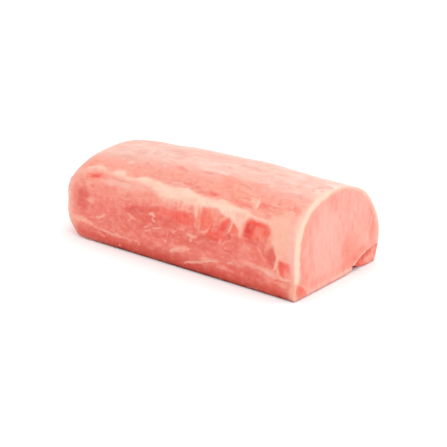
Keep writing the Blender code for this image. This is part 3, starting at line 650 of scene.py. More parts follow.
def place(x, y, z, inset=0.0):
    """The bent prism with its far end rounded off, as points."""
    across, up = bend(x, y, z)
    k = end_scale(x, inset)
    return np.stack([x + 0 * across, END_CENTRE_Y + (across - END_CENTRE_Y) * k,
                     END_CENTRE_Z + (up - END_CENTRE_Z) * k], -1)


def middle_line(x, inset=0.0):
    """Points along the middle of the joint."""
    return place(x, 0 * x, 0 * x + MIDDLE_Z, inset)


def unplace(points):
    """Takes points of the joint back to the straight prism: x, y, z."""
    x = points[:, 0]
    k = np.maximum(end_scale(x), 0.06)
    across = END_CENTRE_Y + (points[:, 1] - END_CENTRE_Y) / k
    up = END_CENTRE_Z + (points[:, 2] - END_CENTRE_Z) / k
    far, bow = far_and_bow(x)
    return x, (across - SKEW * far) / (1 + FAR_WIDENING * far), up / ((1 - FAR_LOWERING * far) * bow)


def scrambled(cells, seed):
    """A repeatable jumble of bits for each cell of a lattice."""
    x, y, z = (cells[:, i].astype(np.uint64) for i in range(3))
    bits = x * np.uint64(73856093) ^ y * np.uint64(19349663) ^ z * np.uint64(83492791)
    bits ^= np.uint64(seed * 2654435761 % 2 ** 32)
    bits = (bits ^ (bits >> np.uint64(15))) * np.uint64(2246822519) & np.uint64(0xFFFFFFFF)
    bits = (bits ^ (bits >> np.uint64(13))) * np.uint64(3266489917) & np.uint64(0xFFFFFFFF)
    return bits ^ (bits >> np.uint64(16))


def cloud(points, seed):
    """Smooth noise between about -1 and 1, with blobs about one unit across."""
    cells = np.floor(points).astype(np.int64)
    inside = points - cells
    blend = inside ** 3 * (inside * (inside * 6 - 15) + 10)
    total = np.zeros(len(points))
    for corner in ((i, j, k) for i in (0, 1) for j in (0, 1) for k in (0, 1)):
        bits = scrambled(cells + corner + 4096, seed)
        lean = [((bits >> np.uint64(9 * i)) & np.uint64(511)).astype(float) / 255.5 - 1 for i in range(3)]
        away = inside - corner
        weight = np.ones(len(points))
        for i in range(3):
            weight = weight * (blend[:, i] if corner[i] else 1 - blend[:, i])
        total += weight * sum(lean[i] * away[:, i] for i in range(3))
    return 1.6 * total


def grain(points, length, width, seed):
    """Noise in the meat at places in metres, stretched lengthwise, sizes in millimetres."""
    return cloud(points * 1000 / np.array([length, width, width]), seed)


def upright_grain(points, width, height, seed):
    """Noise stretched upwards, as the fibres stand on the sides and on the knife cut."""
    return cloud(points * 1000 / np.array([width, width, height]), seed)


def slow_noise(points, frequency):
    """The noise that the construction model uses."""
    return np.array([noise.noise(Vector(p)) for p in points * frequency])


def swell(points):
    """The construction model's own slow unevenness, so that the pieces keep to it."""
    wave = slow_noise(points, SWELL_FREQUENCY) + RIPPLE_SHARE * slow_noise(points, RIPPLE_FREQUENCY)
    return SWELL * wave * smooth(*STEADY_FOOT, points[:, 2])


def patch_mask(along, round_, oval, edge):
    """How far points lie inside a tilted oval patch, from 0 to 1."""
    centre_a, centre_r, half_a, half_r, tilt = oval
    turn = math.radians(tilt)
    a, r = along - centre_a, round_ - centre_r
    u = (a * math.cos(turn) + r * math.sin(turn)) / half_a
    v = (r * math.cos(turn) - a * math.sin(turn)) / half_r
    return 1 - smooth(1 - edge, 1 + edge, np.hypot(u, v))


def stroke_mask(along, round_, points, half_width):
    """How far points lie inside a tapering stroke, from 0 to 1."""
    nearest = np.full_like(along, 1e9)
    where = np.zeros_like(along)
    spans = len(points) - 1
    for i, ((a0, r0), (a1, r1)) in enumerate(zip(points, points[1:])):
        run_a, run_r = a1 - a0, r1 - r0
        t = ((along - a0) * run_a + (round_ - r0) * run_r) / (run_a ** 2 + run_r ** 2)
        t = np.clip(t, 0, 1)
        distance = np.hypot(along - a0 - t * run_a, round_ - r0 - t * run_r)
        closer = distance < nearest
        nearest = np.where(closer, distance, nearest)
        where = np.where(closer, (i + t) / spans, where)
    taper = 0.45 + 0.55 * np.sqrt(np.clip(4 * where * (1 - where), 0, 1))
    return 1 - smooth(0.45, 1.35, nearest / (half_width * taper))


Spots = namedtuple("Spots", "along round points")


def on_chart(along, round_):
    """Spots of the outside at chart places in millimetres, with their points in metres."""
    x = along / 1000
    return Spots(along, round_, place(x, *dome_point(round_ / 1000)))


def roughened(spots):
    """Chart places shifted by noise, which gives the marks ragged, natural edges."""
    p = spots.points
    shift_a = 1.3 * grain(p, 9, 7, 3) + 0.8 * grain(p, 3.4, 2.6, 7)
    shift_r = 0.9 * grain(p, 10, 6, 11) + 0.55 * grain(p, 3.6, 2.4, 15)
    return spots.along + shift_a, spots.round + shift_r


def band_edges(along):
    """The top and the foot of the band of fat, and how soft its foot is."""
    top = np.interp(along, *zip(*BAND_TOP))
    foot = np.interp(along, *zip(*BAND_FOOT))
    soft = np.interp(along, (-126, -50, -12, 10, 24, 126), (2.4, 3.0, 3.0, 3.2, 1.6, 1.2))
    return top, foot, soft


def band_mask(a, r):
    """The band of fat along the shoulder."""
    top, foot, soft = band_edges(a)
    return smooth(-soft, soft, r - foot) * smooth(-1.1, 1.3, top - r)


def fringe_mask(a, r):
    """Thin fat that fades out below and above the band."""
    top, foot, soft = band_edges(a)
    return smooth(-2.6 * soft - 1, 0, r - foot) * smooth(-4.5, 0, top - r)


# ---------------------------------------------------------------- settings
class PorkLoinForm(bpy.types.PropertyGroup):
    """Sizes of the dressed pieces."""

    body_step: bpy.props.FloatProperty(
        name="Body Step", description="Distance between points on the outside",
        default=0.00105, min=0.0005, unit="LENGTH")
    hidden_step: bpy.props.FloatProperty(
        name="Hidden Step", description="Distance between points on faces that touch inside",
        default=0.0040, min=0.001, unit="LENGTH")
    edge_radius: bpy.props.FloatProperty(
        name="Edge Radius", description="Rounding of the edge of the knife cut",
        default=0.0011, min=0.0002, unit="LENGTH")
    foot_tuck: bpy.props.FloatProperty(
        name="Foot Tuck", description="How far the sides turn in under the joint",
        default=0.0002, min=0.0, unit="LENGTH")
    end_belly: bpy.props.FloatProperty(
        name="End Belly", description="How much lower the middle of the rounded end's underside hangs",
        default=0.45, min=0.0, max=1.0)
    end_tuck: bpy.props.FloatProperty(
        name="End Tuck", description="How much further the rounded end's foot turns in",
        default=0.0050, min=0.0, unit="LENGTH")
    foot_height: bpy.props.FloatProperty(
        name="Foot Height", description="Height over which the sides turn in",
        default=0.0025, min=0.001, unit="LENGTH")
    relief: bpy.props.FloatProperty(
        name="Relief", description="Depth of the fat pads and hollows, 1 as on the real joint",
        default=1.0, min=0.0)
    fibre_depth: bpy.props.FloatProperty(
        name="Fibre Depth", description="Depth of the lengthwise fibres",
        default=0.00011, min=0.0, unit="LENGTH")
    cut_bulge: bpy.props.FloatProperty(
        name="Cut Bulge", description="How far the eye muscle swells out of the knife cut",
        default=0.0010, min=0.0, unit="LENGTH")
    scrap_thickness: bpy.props.FloatProperty(
        name="Scrap Thickness", description="Thickness of the scraps of silverskin",
        default=0.00028, min=0.0001, unit="LENGTH")


def colour_property(name, description, default):
    """A colour setting, with its default given as a linear colour."""
    return bpy.props.FloatVectorProperty(
        name=name, description=description, default=default, subtype="COLOR",
        min=0.0, max=1.0, size=3)


class PorkLoinColours(bpy.types.PropertyGroup):
    """Colours of fat, skin and lean meat."""

    # Pearl is the whitest fat, and is also laid as glints on the skin, which are painted highlights.
    pearl: colour_property("Pearl", "Whitest fat and glints of skin", srgb(255, 234, 220))
    cream: colour_property("Cream", "Thick fat", srgb(254, 219, 197))
    peach: colour_property("Peach", "Fat with meat showing through", srgb(253, 191, 169))
    veil: colour_property("Veil", "Torn silverskin on lean meat", srgb(255, 181, 163))
    pale: colour_property("Pale", "Pale skin on top", srgb(250, 210, 197))
    membrane: colour_property("Membrane", "Pink skin on top", srgb(250, 197, 182))
    blush: colour_property("Blush", "Skin with meat close under it", srgb(245, 182, 167))
    dusky: colour_property("Dusky", "Greyish skin over a hollow", srgb(234, 176, 161))
    salmon: colour_property("Salmon", "Thin skin on the shoulder", srgb(250, 170, 153))
    apricot: colour_property("Apricot", "Orange skin on lean meat", srgb(250, 164, 143))
    rosy: colour_property("Rosy", "Bright skin on lean meat", srgb(248, 151, 136))
    flesh: colour_property("Flesh", "Lean meat under thin skin", srgb(243, 137, 123))
    lean: colour_property("Lean", "Bare lean meat", srgb(236, 125, 111))
    ember: colour_property("Ember", "Orange-red lean meat", srgb(240, 120, 103))
    tangerine: colour_property("Tangerine", "Orange lean meat", srgb(249, 131, 110))
    coral: colour_property("Coral", "Bright red lean meat", srgb(248, 108, 95))
    wine: colour_property("Wine", "Dark lean meat", srgb(226, 103, 92))
    garnet: colour_property("Garnet", "Darkest lean meat", srgb(226, 80, 74))
    # Deep is painted shade: it darkens the feet, the knife cut's bottom edge and the line under the chain
    # muscle's seam.
    deep: colour_property("Deep", "Lean meat at the foot", srgb(190, 82, 70))
    # Shadow is painted contact shadow: the darkest line along the feet, and the hollow under the chain
    # muscle.
    shadow: colour_property("Shadow", "Blood-dark meat where the joint meets the floor", srgb(118, 22, 14))
    cut_light: colour_property("Cut Light", "Palest meat on the knife cut", srgb(250, 189, 175))
    cut_mid: colour_property("Cut Mid", "Meat on the knife cut", srgb(249, 173, 158))
    cut_red: colour_property("Cut Red", "Reddest meat on the knife cut", srgb(246, 145, 129))


class PorkLoinFinish(bpy.types.PropertyGroup):
    """Gloss, depth and light."""

    coat: bpy.props.FloatProperty(
        name="Wetness", description="Strength of the wet coat", default=0.08, min=0.0, max=1.0,
        subtype="FACTOR")
    coat_roughness: bpy.props.FloatProperty(
        name="Wet Roughness", description="Roughness of the wet coat", default=0.24,
        min=0.0, max=1.0, subtype="FACTOR")
    glow: bpy.props.FloatProperty(
        name="Glow", description="Light scattered under the surface", default=0.12, min=0.0,
        max=1.0, subtype="FACTOR")
    glow_depth: bpy.props.FloatProperty(
        name="Glow Depth", description="How deep the light goes", default=0.0022, min=0.0,
        unit="LENGTH")
    studio_light: bpy.props.FloatProperty(
        name="Studio Light", description="Light on the meat that the colours as seen allow for",
        default=1.09, min=0.1)
    studio_gloss: bpy.props.FloatProperty(
        name="Studio Gloss", description="Reflected white that the colours as seen allow for",
        default=0.024, min=0.0)
    key_power: bpy.props.FloatProperty(
        name="Key Light", description="Power of the soft light overhead", default=5.0,
        min=0.0, unit="POWER")
    fill_power: bpy.props.FloatProperty(
        name="Fill Light", description="Power of the soft light from the cut's side",
        default=1.5, min=0.0, unit="POWER")
    surround: bpy.props.FloatProperty(
        name="Surround", description="Brightness of the white studio", default=1.0, min=0.0)
    table_glow: bpy.props.FloatProperty(
        name="Table Glow", description="Light that the white table gives off", default=0.12, min=0.0)


SETTINGS = {
    "pork_loin_form": PorkLoinForm,
    "pork_loin_colours": PorkLoinColours,
    "pork_loin_finish": PorkLoinFinish,
}


def form():
    return bpy.context.scene.pork_loin_form


def colour(name):
    return np.array(getattr(bpy.context.scene.pork_loin_colours, name)[:])


def finish():
    return bpy.context.scene.pork_loin_finish


# ---------------------------------------------------------------- relief
def marks_relief(a, r, patches, edge, strokes, cracks, crack_depth):
    """How far patches, strokes and cracks stand proud, in millimetres."""
    height = np.zeros_like(a)
    for *oval, _, strength, rise in patches:
        height += rise * strength * patch_mask(a, r, oval, edge)
    for points, half_width, _, strength, rise in strokes:
        height += rise * strength * stroke_mask(a, r, points, half_width)
    for points, half_width, strength in cracks:
        height -= crack_depth * strength * stroke_mask(a, r, points, half_width)
    return height


def outside_relief(spots):
    """How far the outside stands proud, in metres."""
    a, r = roughened(spots)
    height = 0.55 * band_mask(a, r)
    for *oval, rise in BULGES:
        height += rise * patch_mask(spots.along, spots.round, oval, 0.9)
    at_end = 1 - smooth(*END_BULGE_X, spots.points[:, 0])
    half_way_up = 1 - smooth(*END_BULGE_RISE, np.abs(spots.points[:, 2] - MIDDLE_Z))
    height += END_BULGE * at_end * half_way_up * (1 - smooth(*END_BULGE_Y, spots.points[:, 1]))
    height += marks_relief(a, r, FAT_PADS + PATCHES, 0.4, FAT_STROKES, CRACKS, 0.45)
    lean = 1 - smooth(*TOP_FROM, spots.round) * (1 - smooth(*TOP_TO, spots.round))
    fibres = grain(spots.points, 12, 3.2, 21)
    lumps = grain(spots.points, 7, 5, 27)
    depth = form().fibre_depth * 1000
    height += depth * fibres * (0.35 + 0.65 * lean) + 0.9 * depth * lumps
    return 0.001 * form().relief * height


def on_cut(y, z):
    """Points of the knife cut at places in metres."""
    return np.stack([np.full_like(y, CUT_X), y, z], -1)


def roughened_cut(y, z):
    """Places of the knife cut in millimetres, shifted by noise."""
    shift = upright_grain(on_cut(y, z), 4, 7, 41)
    lift = upright_grain(on_cut(y, z), 4, 7, 43)
    return y * 1000 + 0.8 * shift, z * 1000 + 0.8 * lift


def cut_relief(y, z):
    """How far the knife cut stands proud, in metres."""
    a, r = roughened_cut(y, z)
    points = on_cut(y, z)
    depth = dome_depth(y, z) * 1000
    rim = rim_thickness(y, z)
    height = form().cut_bulge * 1000 * smooth(rim - 0.5, rim + 7.0, depth)
    height -= SEAM_DEPTH * np.exp(-((depth - rim) / SEAM_WIDTH) ** 2)
    height += marks_relief(a, r, CUT_PATCHES, 0.28, CUT_STROKES, CUT_CRACKS, 0.4)
    chain = chain_share(y, z)
    height -= CHAIN_HOLLOW * chain * smooth(1.0, 5.0, z * 1000)
    height += marks_relief(a, r, CUT_CHAIN, 0.28, (), (), 0.0) * chain
    height += 0.16 * upright_grain(points, 2.2, 12, 47) + 0.10 * upright_grain(points, 1.4, 5, 49)
    height += chain * 0.35 * upright_grain(points, 2.6, 2.2, 51)
    return 0.001 * form().relief * height * smooth(0.0, 2.2, np.minimum(depth, z * 1000))


def spoke(y, z):
    """Angle of places about the middle, and whether a spoke there ends on the underside."""
    angle = np.arctan2(y, z - MIDDLE_Z)
    return angle, (angle < DOME_ANGLE[0]) | (angle > DOME_ANGLE[-1])


def spoke_girth(y, z):
    """Distance round the dome to the ends of the spokes through places."""
    return np.interp(spoke(y, z)[0], DOME_ANGLE, DOME_ARC)


def dome_depth(y, z):
    """Depth of places of the knife cut under the dome, along a spoke from the middle."""
    angle, under = spoke(y, z)
    depth = np.interp(angle, DOME_ANGLE, DOME_REACH) - np.hypot(y, z - MIDDLE_Z)
    return np.where(under, DEEP_INSIDE, depth)


def rim_thickness(y, z):
    """Thickness of the rim of fat in millimetres, at the nearest place round the dome."""
    girth = spoke_girth(y, z)
    edge = on_cut(*dome_point(girth))
    return np.interp(girth * 1000, *zip(*RIM)) * (1 + 0.22 * grain(edge, 6, 6, 61))


def chain_share(y, z):
    """1 inside the chain muscle's section of the knife cut, 0 outside it."""
    return 1 - smooth(0.97, 1.0, np.hypot((y - HALF_BASE) / CHAIN_WIDTH, z / CHAIN_HEIGHT))


def strip_share(y, z):
    """1 inside the rib strip's section of the knife cut, 0 outside it."""
    return 1 - smooth(0.94, 1.0, np.hypot((y + HALF_BASE) / STRIP_WIDTH, z / STRIP_HEIGHT))


# ---------------------------------------------------------------- building blanks
def deselect():
    bpy.ops.object.select_all(action="DESELECT")


def pick(obj):
    """Makes the object the only selected one, and the active one."""
    deselect()
    bpy.context.view_layer.objects.active = obj
    obj.select_set(True)


def read_points(mesh):
    """The mesh's points, as rows of x, y and z."""
    points = np.zeros(len(mesh.vertices) * 3)
    mesh.vertices.foreach_get("co", points)
    return points.reshape(-1, 3)


def write_points(mesh, points):
    """Moves the mesh's points to the given rows of x, y and z."""
    mesh.vertices.foreach_set("co", points.ravel())
    mesh.update()


def unit(vectors):
    """The vectors, each made one long."""
    return vectors / np.maximum(np.linalg.norm(vectors, axis=-1, keepdims=True), TINY)


def lofted(name, rings, tip=None):
    """A closed body: a UV sphere whose rings are moved onto the given rings of points."""
    butt = rings[0].mean(axis=0)
    tip = rings[-1].mean(axis=0) if tip is None else tip
    rows, columns = len(rings), len(rings[0])
    deselect()
    bpy.ops.mesh.primitive_uv_sphere_add(segments=columns, ring_count=rows + 1, radius=1.0)
    obj = bpy.context.object
    obj.name = obj.data.name = name
    co = read_points(obj.data)
    row = np.rint(np.arctan2(np.hypot(co[:, 0], co[:, 1]), co[:, 2]) / np.pi * (rows + 1)).astype(int)
    column = np.rint(-np.arctan2(co[:, 1], co[:, 0]) / (2 * np.pi) * columns).astype(int) % columns
    table = np.concatenate([np.broadcast_to(butt, (1, columns, 3)), rings,
                            np.broadcast_to(tip, (1, columns, 3))])
    write_points(obj.data, table[row, column])
    return obj


def lengthwise(first, step, inset=0.0):
    """x of the rings from the cut to the tip, about one step apart over the surface."""
    straight = np.linspace(first, ROUND_X, max(int((first - ROUND_X) / step), 2) + 1)
    rows = max(int(END_LENGTH * 1.5 / step), 8)
    rounded = ROUND_X - (END_LENGTH - inset) * np.sin(np.pi / 2 * np.arange(1, rows) / rows)
    return np.concatenate([straight, rounded])


def section_ring(dome_step, base_step):
    """The cut's outline as a ring of y, z and distance round the dome."""
    steps = int(GIRTH / dome_step)
    girth = np.linspace(0.0, GIRTH, steps + 1)
    y, z = dome_point(girth)
    base_steps = int(2 * HALF_BASE / base_step)
    base_y = np.linspace(y[-1], y[0], base_steps + 1)[1:-1]
    base_girth = np.where(base_y > 0, GIRTH, 0.0)
    return (np.concatenate([y, base_y]), np.concatenate([z, base_height(base_y)]),
            np.concatenate([girth, base_girth]), steps + 1)


def outward(grid):
    """Unit normals of a grid of points, rows along the joint and columns round it."""
    along = np.gradient(grid, axis=0)
    around = np.roll(grid, -1, axis=1) - np.roll(grid, 1, axis=1)
    return unit(np.cross(around, along))


def softened(grid, x, girth, dome_count):
    """Rounds off the far shoulder of the rounded end."""
    spacing = GIRTH / (dome_count - 1)
    columns = int(2.6 * SHOULDER_SOFTNESS / spacing)
    around = np.zeros_like(grid)
    total = 0.0
    for shift in range(-columns, columns + 1):
        weight = math.exp(-0.5 * (shift * spacing / SHOULDER_SOFTNESS) ** 2)
        around += weight * np.roll(grid, shift, axis=1)
        total += weight
    far = smooth(*SHOULDER_FROM, girth) * (1 - smooth(*SHOULDER_TO, girth))
    share = smooth(0.0, 0.4, 1 - end_scale(x))[:, None] * far[None, :]
    return grid + (around / total - grid) * share[:, :, None]


def joint_blank(name, dome_step, base_step, face_step):
    """The whole joint in one body, with its swell, its relief and the rounded cut edge."""
    y, z, girth, dome_count = section_ring(dome_step, base_step)
    on_dome = np.arange(len(y)) < dome_count
    x = lengthwise(CUT_X - form().edge_radius, dome_step)
    grid = softened(place(x[:, None], y[None, :], z[None, :]), x, girth, dome_count)
    normal = outward(grid)
    flat = grid.reshape(-1, 3)
    outside = np.tile(on_dome, len(x))
    spots = Spots(np.repeat(x * 1000, len(y)), np.tile(girth * 1000, len(x)), flat)
    proud = (swell(flat) + outside_relief(spots)) * outside * smooth(0.0, PLAIN_FOOT, flat[:, 2])
    tuck = form().foot_tuck * (1 - smooth(0.0, form().foot_height, flat[:, 2]))
    at_end = smooth(*END_TUCK_X, flat[:, 0])
    tuck += form().end_tuck * at_end * (1 - smooth(0.0, END_TUCK_HEIGHT, flat[:, 2]))
    across = np.tile((y + HALF_BASE) / (2 * HALF_BASE), len(x))
    belly = np.where(outside, 0.0, np.sin(np.pi * np.clip(across, 0, 1)) ** 0.7)
    belly *= form().end_belly * smooth(0.0, 0.3, 1 - end_scale(flat[:, 0]))
    inwards = np.repeat(middle_line(x)[:, 1], len(y)) - flat[:, 1]
    span = np.clip(np.abs(inwards) / HALF_BASE, 0, 1)
    flat = flat + normal.reshape(-1, 3) * proud[:, None]
    flat[:, 1] += np.sign(inwards) * tuck * span ** 2
    flat[:, 2] *= 1 - belly
    flat[:, 2] = np.maximum(flat[:, 2], 0.0)
    body = flat.reshape(grid.shape)
    return lofted(name, np.concatenate([cut_rings(body[0], face_step), body]))


def cut_rings(rim, face_step):
    """Rings that close the knife cut, from its middle out to the rounded edge."""
    radius = form().edge_radius
    centre = np.array([CUT_X, 0.0, MIDDLE_Z])
    across = np.roll(rim, -1, axis=0) - np.roll(rim, 1, axis=0)
    normal = unit(np.stack([0 * across[:, 0], -across[:, 2], across[:, 1]], -1))
    normal *= np.sign(np.sum(normal * (centre - rim)))
    inner = rim + normal * radius
    count = int(FACE_REACH / face_step)
    rings = []
    for share in np.arange(1, count + 1) / count:
        ring = centre + (inner - centre) * share
        ring[:, 0] = CUT_X
        ring[:, 0] += cut_relief(ring[:, 1], ring[:, 2])
        rings.append(ring)
    for angle in (math.radians(30), math.radians(60)):
        ring = rim + normal * radius * (1 - math.sin(angle))
        ring[:, 0] = CUT_X - radius * (1 - math.cos(angle))
        rings.append(ring)
    return np.array(rings)


def cap_thickness(share):
    """Thickness of the fat cap at a share of the way over the dome."""
    near = CAP_NEAR + (CAP_TOP - CAP_NEAR) * smooth(0.25, 0.5, share)
    return near + (CAP_FAR - CAP_TOP) * smooth(0.5, 0.8, share)


def core_tool(clearance=0.0):
    """All that lies inside the fat cap, run past the cut and through the base."""
    step = form().hidden_step / 2
    steps = int(GIRTH / step)
    share = np.linspace(0.0, 1.0, steps + 1)
    y, z = dome_point(share * GIRTH)
    run_y, run_z = np.gradient(y), np.gradient(z)
    length = np.hypot(run_y, run_z)
    depth = cap_thickness(share) + clearance
    inner_y, inner_z = y + depth * run_z / length, z - depth * run_y / length
    wall = inner_z > CORE_FOOT
    inner_y, inner_z = inner_y[wall], inner_z[wall]
    floor_y = np.linspace(inner_y[-1], inner_y[0], TOOL_FLOOR_POINTS)
    ring_y = np.concatenate([inner_y, floor_y])
    ring_z = np.concatenate([inner_z, np.full(TOOL_FLOOR_POINTS, BELOW_BASE)])
    inset = CAP_TOP + clearance
    x = lengthwise(CUT_X + PAST_CUT, form().hidden_step, inset)
    rings = place(x[:, None], ring_y[None, :], ring_z[None, :], inset)
    flat = rings.reshape(-1, 3)
    outwards = flat - np.repeat(middle_line(x, inset), len(ring_y), axis=0)
    outwards[:, 0] = 0.0
    rings = (flat + unit(outwards) * swell(flat)[:, None]).reshape(rings.shape)
    return lofted("core_tool", rings, place(-LENGTH / 2 + inset, 0.0, 0.0, inset))


def edge_tool(name, y, width, height, wave=0.0, clearance=0.0):
    """An oval tube along the base from end to end, which marks off a side muscle."""
    x = np.linspace(CUT_X + PAST_CUT, -CUT_X - PAST_CUT, TOOL_ROWS)
    across, _ = bend(x, y, 0.0)
    tall = height + wave * np.sin(2 * np.pi * (CUT_X - x) / STRIP_WAVELENGTH)
    angle = -2 * np.pi * (np.arange(TOOL_COLUMNS) + 0.5) / TOOL_COLUMNS
    rings = np.stack([
        np.repeat(x[:, None], TOOL_COLUMNS, axis=1),
        across[:, None] + np.cos(angle)[None, :] * (width + clearance),
        np.sin(angle)[None, :] * (tall[:, None] + clearance)], -1)
    return lofted(name, rings)


def strip_tool(clearance=0.0):
    return edge_tool("strip_tool", -HALF_BASE, STRIP_WIDTH, STRIP_HEIGHT, STRIP_WAVE, clearance)


def chain_tool(clearance=0.0):
    return edge_tool("chain_tool", HALF_BASE, CHAIN_WIDTH, CHAIN_HEIGHT, CHAIN_WAVE, clearance)


def groove_tool():
    """The wedge-shaped hollow that opens under the chain muscle at the cut."""
    corners = [*GROOVE_TOP, *((y, z - GROOVE_OPENING) for y, z in reversed(GROOVE_TOP))]
    corners = np.array([*corners, corners[0]])
    outline = [start + (end - start) * share for start, end in zip(corners, corners[1:])
               for share in np.arange(8)[:, None] / 8]
    y, z = np.array(outline).T
    x = np.array([CUT_X + PAST_CUT, CUT_X - 0.5 * GROOVE_DEPTH, CUT_X - 0.8 * GROOVE_DEPTH,
                  CUT_X - GROOVE_DEPTH])
    size = np.array([1.0, 1.0, 0.95, 0.8])
    rings = np.stack([
        np.repeat(x[:, None], len(y), axis=1),
        GROOVE_TOP[0][0] + (y - GROOVE_TOP[0][0])[None, :] * size[:, None],
        z[None, :] * size[:, None]], -1)
    return lofted("groove_tool", rings)


def groove_share(y, z):
    """1 inside the wedge-shaped hollow under the chain muscle, 0 outside it."""
    top = np.interp(y, *zip(*GROOVE_TOP))
    span = (y > GROOVE_TOP[0][0] - 0.0004) & (y < GROOVE_TOP[-1][0] + 0.0004)
    return span * smooth(-0.0006, 0.0002, top - z) * smooth(-0.0002, 0.0006, z + GROOVE_OPENING - top)


def carve(obj, operation, tool):
    """Applies a Boolean with the tool, and removes the tool."""
    before = len(obj.data.polygons)
    pick(obj)
    modifier = obj.modifiers.new("carve", "BOOLEAN")
    modifier.operation = operation
    modifier.solver = "MANIFOLD"
    modifier.object = tool
    bpy.ops.object.modifier_apply(modifier=modifier.name)
    bpy.data.objects.remove(tool)
    if len(obj.data.polygons) in (0, before):
        raise RuntimeError(f"{obj.name}: the {operation.lower()} changed nothing")


def clean(obj, smooth_angle=SMOOTH_ANGLE):
    """Merges slivers, closes the mesh, turns its faces outwards and smooths its shading."""
    pick(obj)
    bpy.ops.object.mode_set(mode="EDIT")
    bpy.ops.mesh.select_all(action="SELECT")
    bpy.ops.mesh.remove_doubles(threshold=MERGE)
    bpy.ops.mesh.dissolve_degenerate(threshold=SLIVER)
    bpy.ops.mesh.normals_make_consistent(inside=False)
    bpy.ops.object.mode_set(mode="OBJECT")
    bpy.ops.object.shade_smooth_by_angle(angle=math.radians(smooth_angle))


# ---------------------------------------------------------------- painting
def mixed(base, top, share):
    """Colours with others over them, by their share at each place."""
    return base + (top - base) * share[:, None]


def over(base, mask, name):
    """Lays a named colour over the painted colours where the mask is high."""
    return mixed(base, colour(name), mask)


def ramp(values, stops):
    """Colours between the named colours at the stops."""
    places = [stop for stop, _ in stops]
    colours = np.array([colour(name) for _, name in stops])
    return np.stack([np.interp(values, places, colours[:, i]) for i in range(3)], -1)


def patched(painted, a, r, patches, edge, within=1.0):
    """Lays patches of colour over the painted colours."""
    for *oval, name, strength, _ in patches:
        painted = over(painted, within * strength * patch_mask(a, r, oval, edge), name)
    return painted


def stroked(painted, a, r, strokes, cracks, darkness):
    """Lays strokes of fat and dark cracks over the painted colours."""
    for points, half_width, name, strength, _ in strokes:
        painted = over(painted, strength * stroke_mask(a, r, points, half_width), name)
    for points, half_width, strength in cracks:
        mask = darkness * strength * stroke_mask(a, r, points, half_width)
        painted = over(painted, mask, "wine")
    return painted


def two_toned(painted, wave, low, high, *tones):
    """Lays the first colour where a wave is high, and the second where it is low."""
    for side, (mask, name) in zip((wave, -wave), tones):
        painted = over(painted, mask * smooth(low, high, side), name)
    return painted


def lined(painted, p, length, width, seed, *tones):
    """Lays drawn lines over the painted colours, light ones first and then dark ones."""
    for lines, (mask, name) in zip(drawn_lines(p, length, width, seed), tones):
        painted = over(painted, mask * lines, name)
    return painted


def paint_outside(spots):
    """Colours of the outside."""
    a, r = roughened(spots)
    p = spots.points
    near = 1 - smooth(60, 84, spots.round)
    top = smooth(84, 96, spots.round) * (1 - smooth(158, 172, spots.round))
    soft_r = r + 2.4 * grain(p, 22, 12, 71) * smooth(6, 14, spots.round)
    # The painted contact shade of the ground's foot stops stays near the floor, so the lifted rounded end
    # isn't darkened.
    above_floor = 1000 * p[:, 2] - 3
    soft_r = np.clip(soft_r, above_floor, GIRTH * 1000 - above_floor)
    painted = ramp(soft_r, GROUND)
    for *oval, name, strength in WASHES:
        painted = over(painted, strength * patch_mask(a, r, oval, 0.85), name)
    drift = grain(p, 24, 10, 73)
    painted = two_toned(painted, drift, 0.0, 0.6, (0.40 * top, "pale"), (0.45 * top, "blush"))
    painted = patched(painted, a, r, TOP_PATCHES, 0.5)
    painted = mottled(painted, p, near, top, spots)
    painted = over(painted, 0.55 * fringe_mask(a, r) * near, "veil")
    core = band_mask(a, r) * (1 - smooth(94, 106, a))
    thick = 0.70 + 0.26 * smooth(-0.4, 0.35, grain(p, 17, 4.5, 111))
    whole = smooth(-125, -55, a)
    painted = over(painted, thick * core * whole, "cream")
    painted = over(painted, 0.5 * core * (1 - whole), "peach")
    painted = patched(painted, a, r, FAT_PADS, 0.42)
    painted = patched(painted, a, r, SIDE_PATCHES, 0.45)
    painted = far_side(painted, spots, a, r)
    threads = upright_grain(p, 2.8, 11, 75)
    middle = patch_mask(spots.along, spots.round, (35, 45, 75, 12, 0), 0.5)
    painted = two_toned(painted, threads, 0.15, 0.6, (middle * 0.30, "rosy"), (middle * 0.25, "garnet"))
    painted = stroked(painted, a, r, FAT_STROKES, CRACKS, 0.5)
    painted = two_toned(painted, grain(p, 6.0, 3.4, 79), 0.1, 0.6, (0.10, "pale"), (0.10, "lean"))
    corner = smooth(119.5, 124.5, a) * (1 - smooth(12, 17, r)) * smooth(1.0, 3.4, r)
    painted = over(painted, 0.65 * corner, "peach")
    start = np.interp(spots.round, (14, 40, 62, 120), (122.0, 124.0, 120.6, 121.4))
    rim = smooth(start, start + 3.4, a + 0.8 * grain(p, 8, 8, 105)) * smooth(12, 18, r)
    strength = np.interp(spots.round, (50, 80, 170, 210), (0.62, 0.38, 0.38, 0.0))
    return over(painted, strength * rim, "cream")


def mottled(painted, p, near, top, spots):
    """Blotches of skin and meat, larger and fainter on top than on the near side."""
    clear = smooth(6, 12, spots.round)
    side = near * clear
    blotch = grain(p, 6.5, 3.4, 77)
    painted = two_toned(painted, blotch, 0.05, 0.6, (0.26 * side, "veil"), (0.24 * side, "wine"))
    haze = grain(p, 13, 6, 81)
    painted = two_toned(painted, haze, 0.1, 0.5, (0.35 * top, "pale"), (0.35 * top, "blush"))
    painted = lined(painted, p, 30, 7, 83, (0.65 * top, "pale"), (0.60 * top, "dusky"))
    # Fine pearl flecks on top are partly painted glints, with blush lines beside them.
    painted = lined(painted, p, 15, 3.0, 117, (0.32 * top, "pearl"), (0.45 * top, "blush"))
    painted = lined(painted, p, 16, 3.6, 107, (0.38 * side, "veil"), (0.34 * side, "wine"))
    return lined(painted, p, 9, 2.6, 109, (0.26 * clear, "peach"), (0.24 * clear, "lean"))


